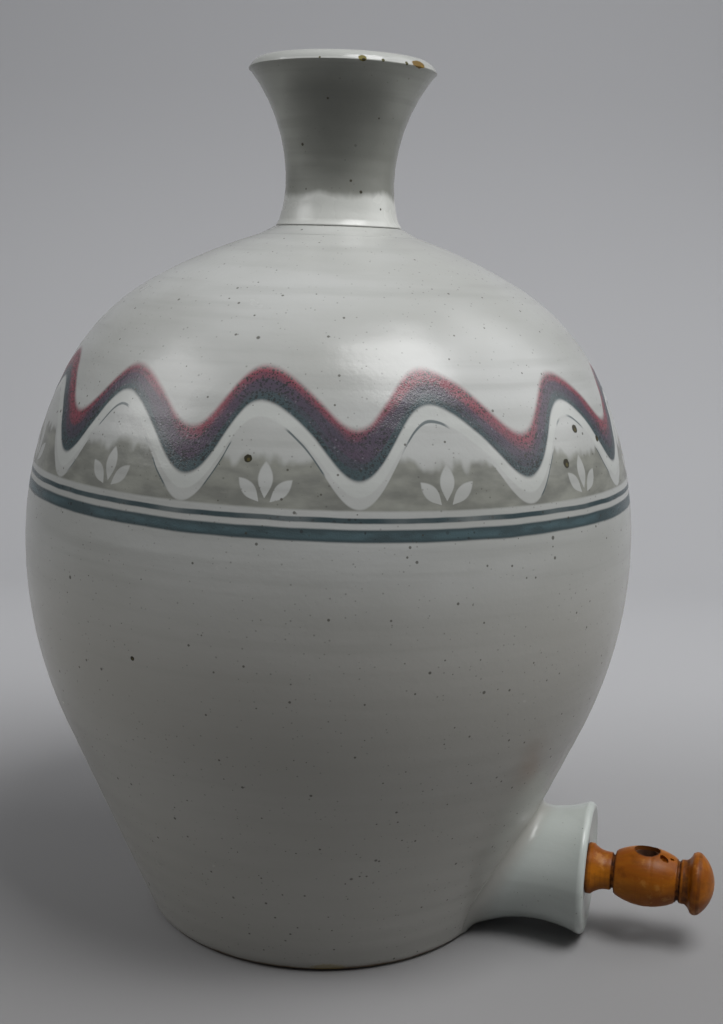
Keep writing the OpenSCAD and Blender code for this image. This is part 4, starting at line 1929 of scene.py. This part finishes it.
@dataclass(frozen=True)
class Corks:
    """The stopper, the bung and the lining of the key hole, which keep the frame's own solids; the lining's
    dark cork is painted shade.
    """

    cut: tuple[str, ...] = ("neck_stopper", "tap_bung")
    # The lining gets a dark cork as painted shade inside the key hole.
    lining_in_shade: tuple[str, ...] = ("key_liner",)

    def dress(self, effects: Effects, solids: dict[str, bpy.types.Object]) -> None:
        """Gives each solid its cork.

        Args:
            effects: The shared node groups.
            solids: The frame's solids by name.
        """
        fresh = CorkFinish(effects).material("cut_cork")
        # Painted shade: a much darker cork for the lining inside the key hole.
        dark_lining_cork = CorkFinish(effects, (0.13, 0.055, 0.022), (0.07, 0.026, 0.011), (0.02, 0.008, 0.004))
        for names, finish in ((self.cut, fresh), (self.lining_in_shade, dark_lining_cork.material("painted_shade_cork"))):
            for name in names:
                solids[name].data.materials.clear()
                solids[name].data.materials.append(finish)
                LOG.info("%s keeps its solid", name)


# Studio


@dataclass(frozen=True)
class Lamp:
    """A square soft light: azimuth and elevation in degrees from what it lights, side and power."""

    name: str
    azimuth: float
    elevation: float
    size: float
    power: float

    def hang(self, aim: Vector, distance: float) -> None:
        """Hangs the light.

        Args:
            aim: The point that it faces.
            distance: How far away it hangs.
        """
        out = math.cos(math.radians(self.elevation))
        away = polar(out, self.azimuth, math.sin(math.radians(self.elevation)))
        data = bpy.data.lights.new(self.name, "AREA")
        data.shape = "SQUARE"
        data.size = self.size
        data.energy = self.power
        lamp = bpy.data.objects.new(self.name, data)
        turn = away.to_track_quat("Z", "Y").to_matrix().to_4x4()
        lamp.matrix_world = Matrix.Translation(aim + away * distance) @ turn
        bpy.context.scene.collection.objects.link(lamp)


@dataclass
class Studio:
    """The camera at the photograph's viewing angle, three soft lights and a pale sweep, in metres."""

    image_h: int = 1024
    focal_px: float = 1350.0
    distance: float = 0.5445
    height: float = 0.2671
    pitch: float = math.radians(10.56)
    roll: float = math.radians(1.86)
    yaw: float = math.radians(1.33)
    round_to: float = math.radians(17.0)
    sensor: float = 36.0
    near_clip: float = 0.01
    lamps: tuple[Lamp, ...] = (
        Lamp("left_soft", -150.0, 36.0, 0.52, 3.1),
        Lamp("right_soft", 16.0, 40.0, 0.90, 3.7),
        Lamp("front_soft", -32.0, 61.0, 0.52, 7.0),
    )
    lamp_aim_z: float = 0.16
    lamp_distance: float = 1.05
    world_colour: Colour = (0.95, 0.97, 1.0)
    world_light: float = 0.06
    world_shown: float = 0.22
    sweep_colour: Colour = (0.22, 0.22, 0.222)
    sweep_shown: Colour = (0.76, 0.765, 0.79)
    # Painted shade: the floor darker towards the front and the backdrop darker towards the top.
    painted_floor_shade: Colour = (0.235, 0.23, 0.23)
    painted_backdrop_shade: Colour = (0.62, 0.625, 0.65)
    sweep_rough: float = 0.75
    sweep_cloud: Grain = Grain(3.0, window=(0.2, 0.8))
    sweep_half: float = 4.0
    sweep_front: float = -5.0
    sweep_back: float = 0.55
    sweep_bend: float = 0.45
    sweep_high: float = 2.2

    @property
    def front(self) -> float:
        """Azimuth of the side that faces the camera, in degrees."""
        return math.degrees(self.round_to) - 90.0

    @staticmethod
    def _shown(loom: Loom) -> Wire:
        """Tells what is seen from what only lights.

        Args:
            loom: The material's loom.

        Returns:
            1 where a ray comes from the camera, a reflection or a refraction, else 0.
        """
        seen = loom.node("ShaderNodeLightPath")
        rays = [loom.wire(seen.outputs[f"Is {kind} Ray"]) for kind in ("Camera", "Glossy", "Transmission")]
        return rays[0].most(rays[1]).most(rays[2])

    def _turned(self, point: Sequence[float]) -> Vector:
        """A point of the camera's own frame, turned into the row frame."""
        return Matrix.Rotation(self.round_to, 3, "Z") @ Vector(point)

    def camera(self) -> None:
        """Sets the camera."""
        cp, sp = math.cos(self.pitch), math.sin(self.pitch)
        cy, sy = math.cos(self.yaw), math.sin(self.yaw)
        cr, sr = math.cos(self.roll), math.sin(self.roll)
        ahead = self._turned((sy * cp, cy * cp, -sp))
        right = self._turned((cy, -sy, 0.0))
        down = self._turned((-sy * sp, -cy * sp, -cp))
        x_axis = right * cr - down * sr
        y_axis = -(right * sr + down * cr)
        data = bpy.data.cameras.new("view")
        data.sensor_fit = "VERTICAL"
        data.sensor_height = self.sensor
        data.lens = self.focal_px * self.sensor / self.image_h
        data.clip_start = self.near_clip
        view = bpy.data.objects.new("view", data)
        turn = Matrix((x_axis, y_axis, -ahead)).transposed().to_4x4()
        view.matrix_world = Matrix.Translation(self._turned((0.0, -self.distance, self.height))) @ turn
        bpy.context.scene.collection.objects.link(view)
        bpy.context.scene.camera = view

    def lights(self) -> None:
        """Hangs the soft lights and sets the world's faint one."""
        for lamp in self.lamps:
            lamp.hang(Vector((0.0, 0.0, self.lamp_aim_z)), self.lamp_distance)
        world = bpy.data.worlds.new("studio")
        world.use_nodes = True
        loom = Loom(world.node_tree)
        sky = world.node_tree.nodes["Background"]
        sky.inputs["Color"].default_value = (*self.world_colour, 1.0)
        feed(loom.tree, sky.inputs["Strength"], self._shown(loom) * self.world_shown + self.world_light)
        bpy.context.scene.world = world

    def sweep(self) -> None:
        """Lays the pale floor, which curves up into the backdrop."""
        back, curve = self.sweep_back, self.sweep_bend
        turns = [math.radians(degrees) for degrees in range(6, 91, 6)]
        line = [(self.sweep_front, 0.0), (back, 0.0)]
        line += [(back + curve * math.sin(a), curve * (1 - math.cos(a))) for a in turns]
        line += [(back + curve, self.sweep_high)]
        mesh = bmesh.new()
        sides = (-self.sweep_half, self.sweep_half)
        rows = [[mesh.verts.new(self._turned((side, y, z))) for side in sides] for y, z in line]
        for low, high in zip(rows, rows[1:]):
            mesh.faces.new((low[0], low[1], high[1], high[0]))
        piece = finish_mesh("sweep", mesh, crease=60.0)
        piece.data.materials.append(self._paper())

    def _paper(self) -> bpy.types.Material:
        """The sweep's paper, which shows paler than it lights, with painted shade that darkens it towards the
        front and towards the top.

        Returns:
            The material.
        """
        material, loom, shader = blank_material("sweep_paper")
        place = loom.place()
        x, y, z = loom.split(place)
        depth = y * math.cos(self.round_to) - x * math.sin(self.round_to)
        cloud = self.sweep_cloud.patches(loom, place)
        paper = loom.mix(cloud, tinted(self.sweep_shown, 0.97), self.sweep_shown)
        # Painted shade: darker towards the top of the backdrop and towards the front of the floor.
        paper = loom.mix(z.smooth(0.15, 0.60), paper, self.painted_backdrop_shade)
        paper = loom.mix(depth.smooth(-0.30, 0.60), self.painted_floor_shade, paper)
        feed(loom.tree, shader.inputs["Base Color"], loom.mix(self._shown(loom), self.sweep_colour, paper))
        shader.inputs["Roughness"].default_value = self.sweep_rough
        return material


def main() -> None:
    """Builds the studio and every piece in order."""
    logging.basicConfig(level=logging.INFO, format="%(message)s")
    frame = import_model()
    bpy.context.scene.view_settings.view_transform = "Standard"

    studio = Studio()
    studio.camera()
    studio.lights()
    studio.sweep()

    effects = Effects(speck_group(), throwing_group())
    tap_low, tap_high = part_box("tap_body")
    neck_low, neck_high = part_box("neck")
    axis_z = (tap_low[2] + tap_high[2]) / 2
    jar = JarBody()
    boss = TapBoss(jar, axis_z)
    jar.dress(effects, boss.drill())
    Neck(neck_low[2], neck_high[2]).dress(effects, studio.front)
    boss.dress(effects)
    Tap(axis_z, collar_x=tap_low[0] + Tap.stem_len).dress()
    Corks().dress(effects, frame["nodes"])


if __name__ == "__main__":
    main()
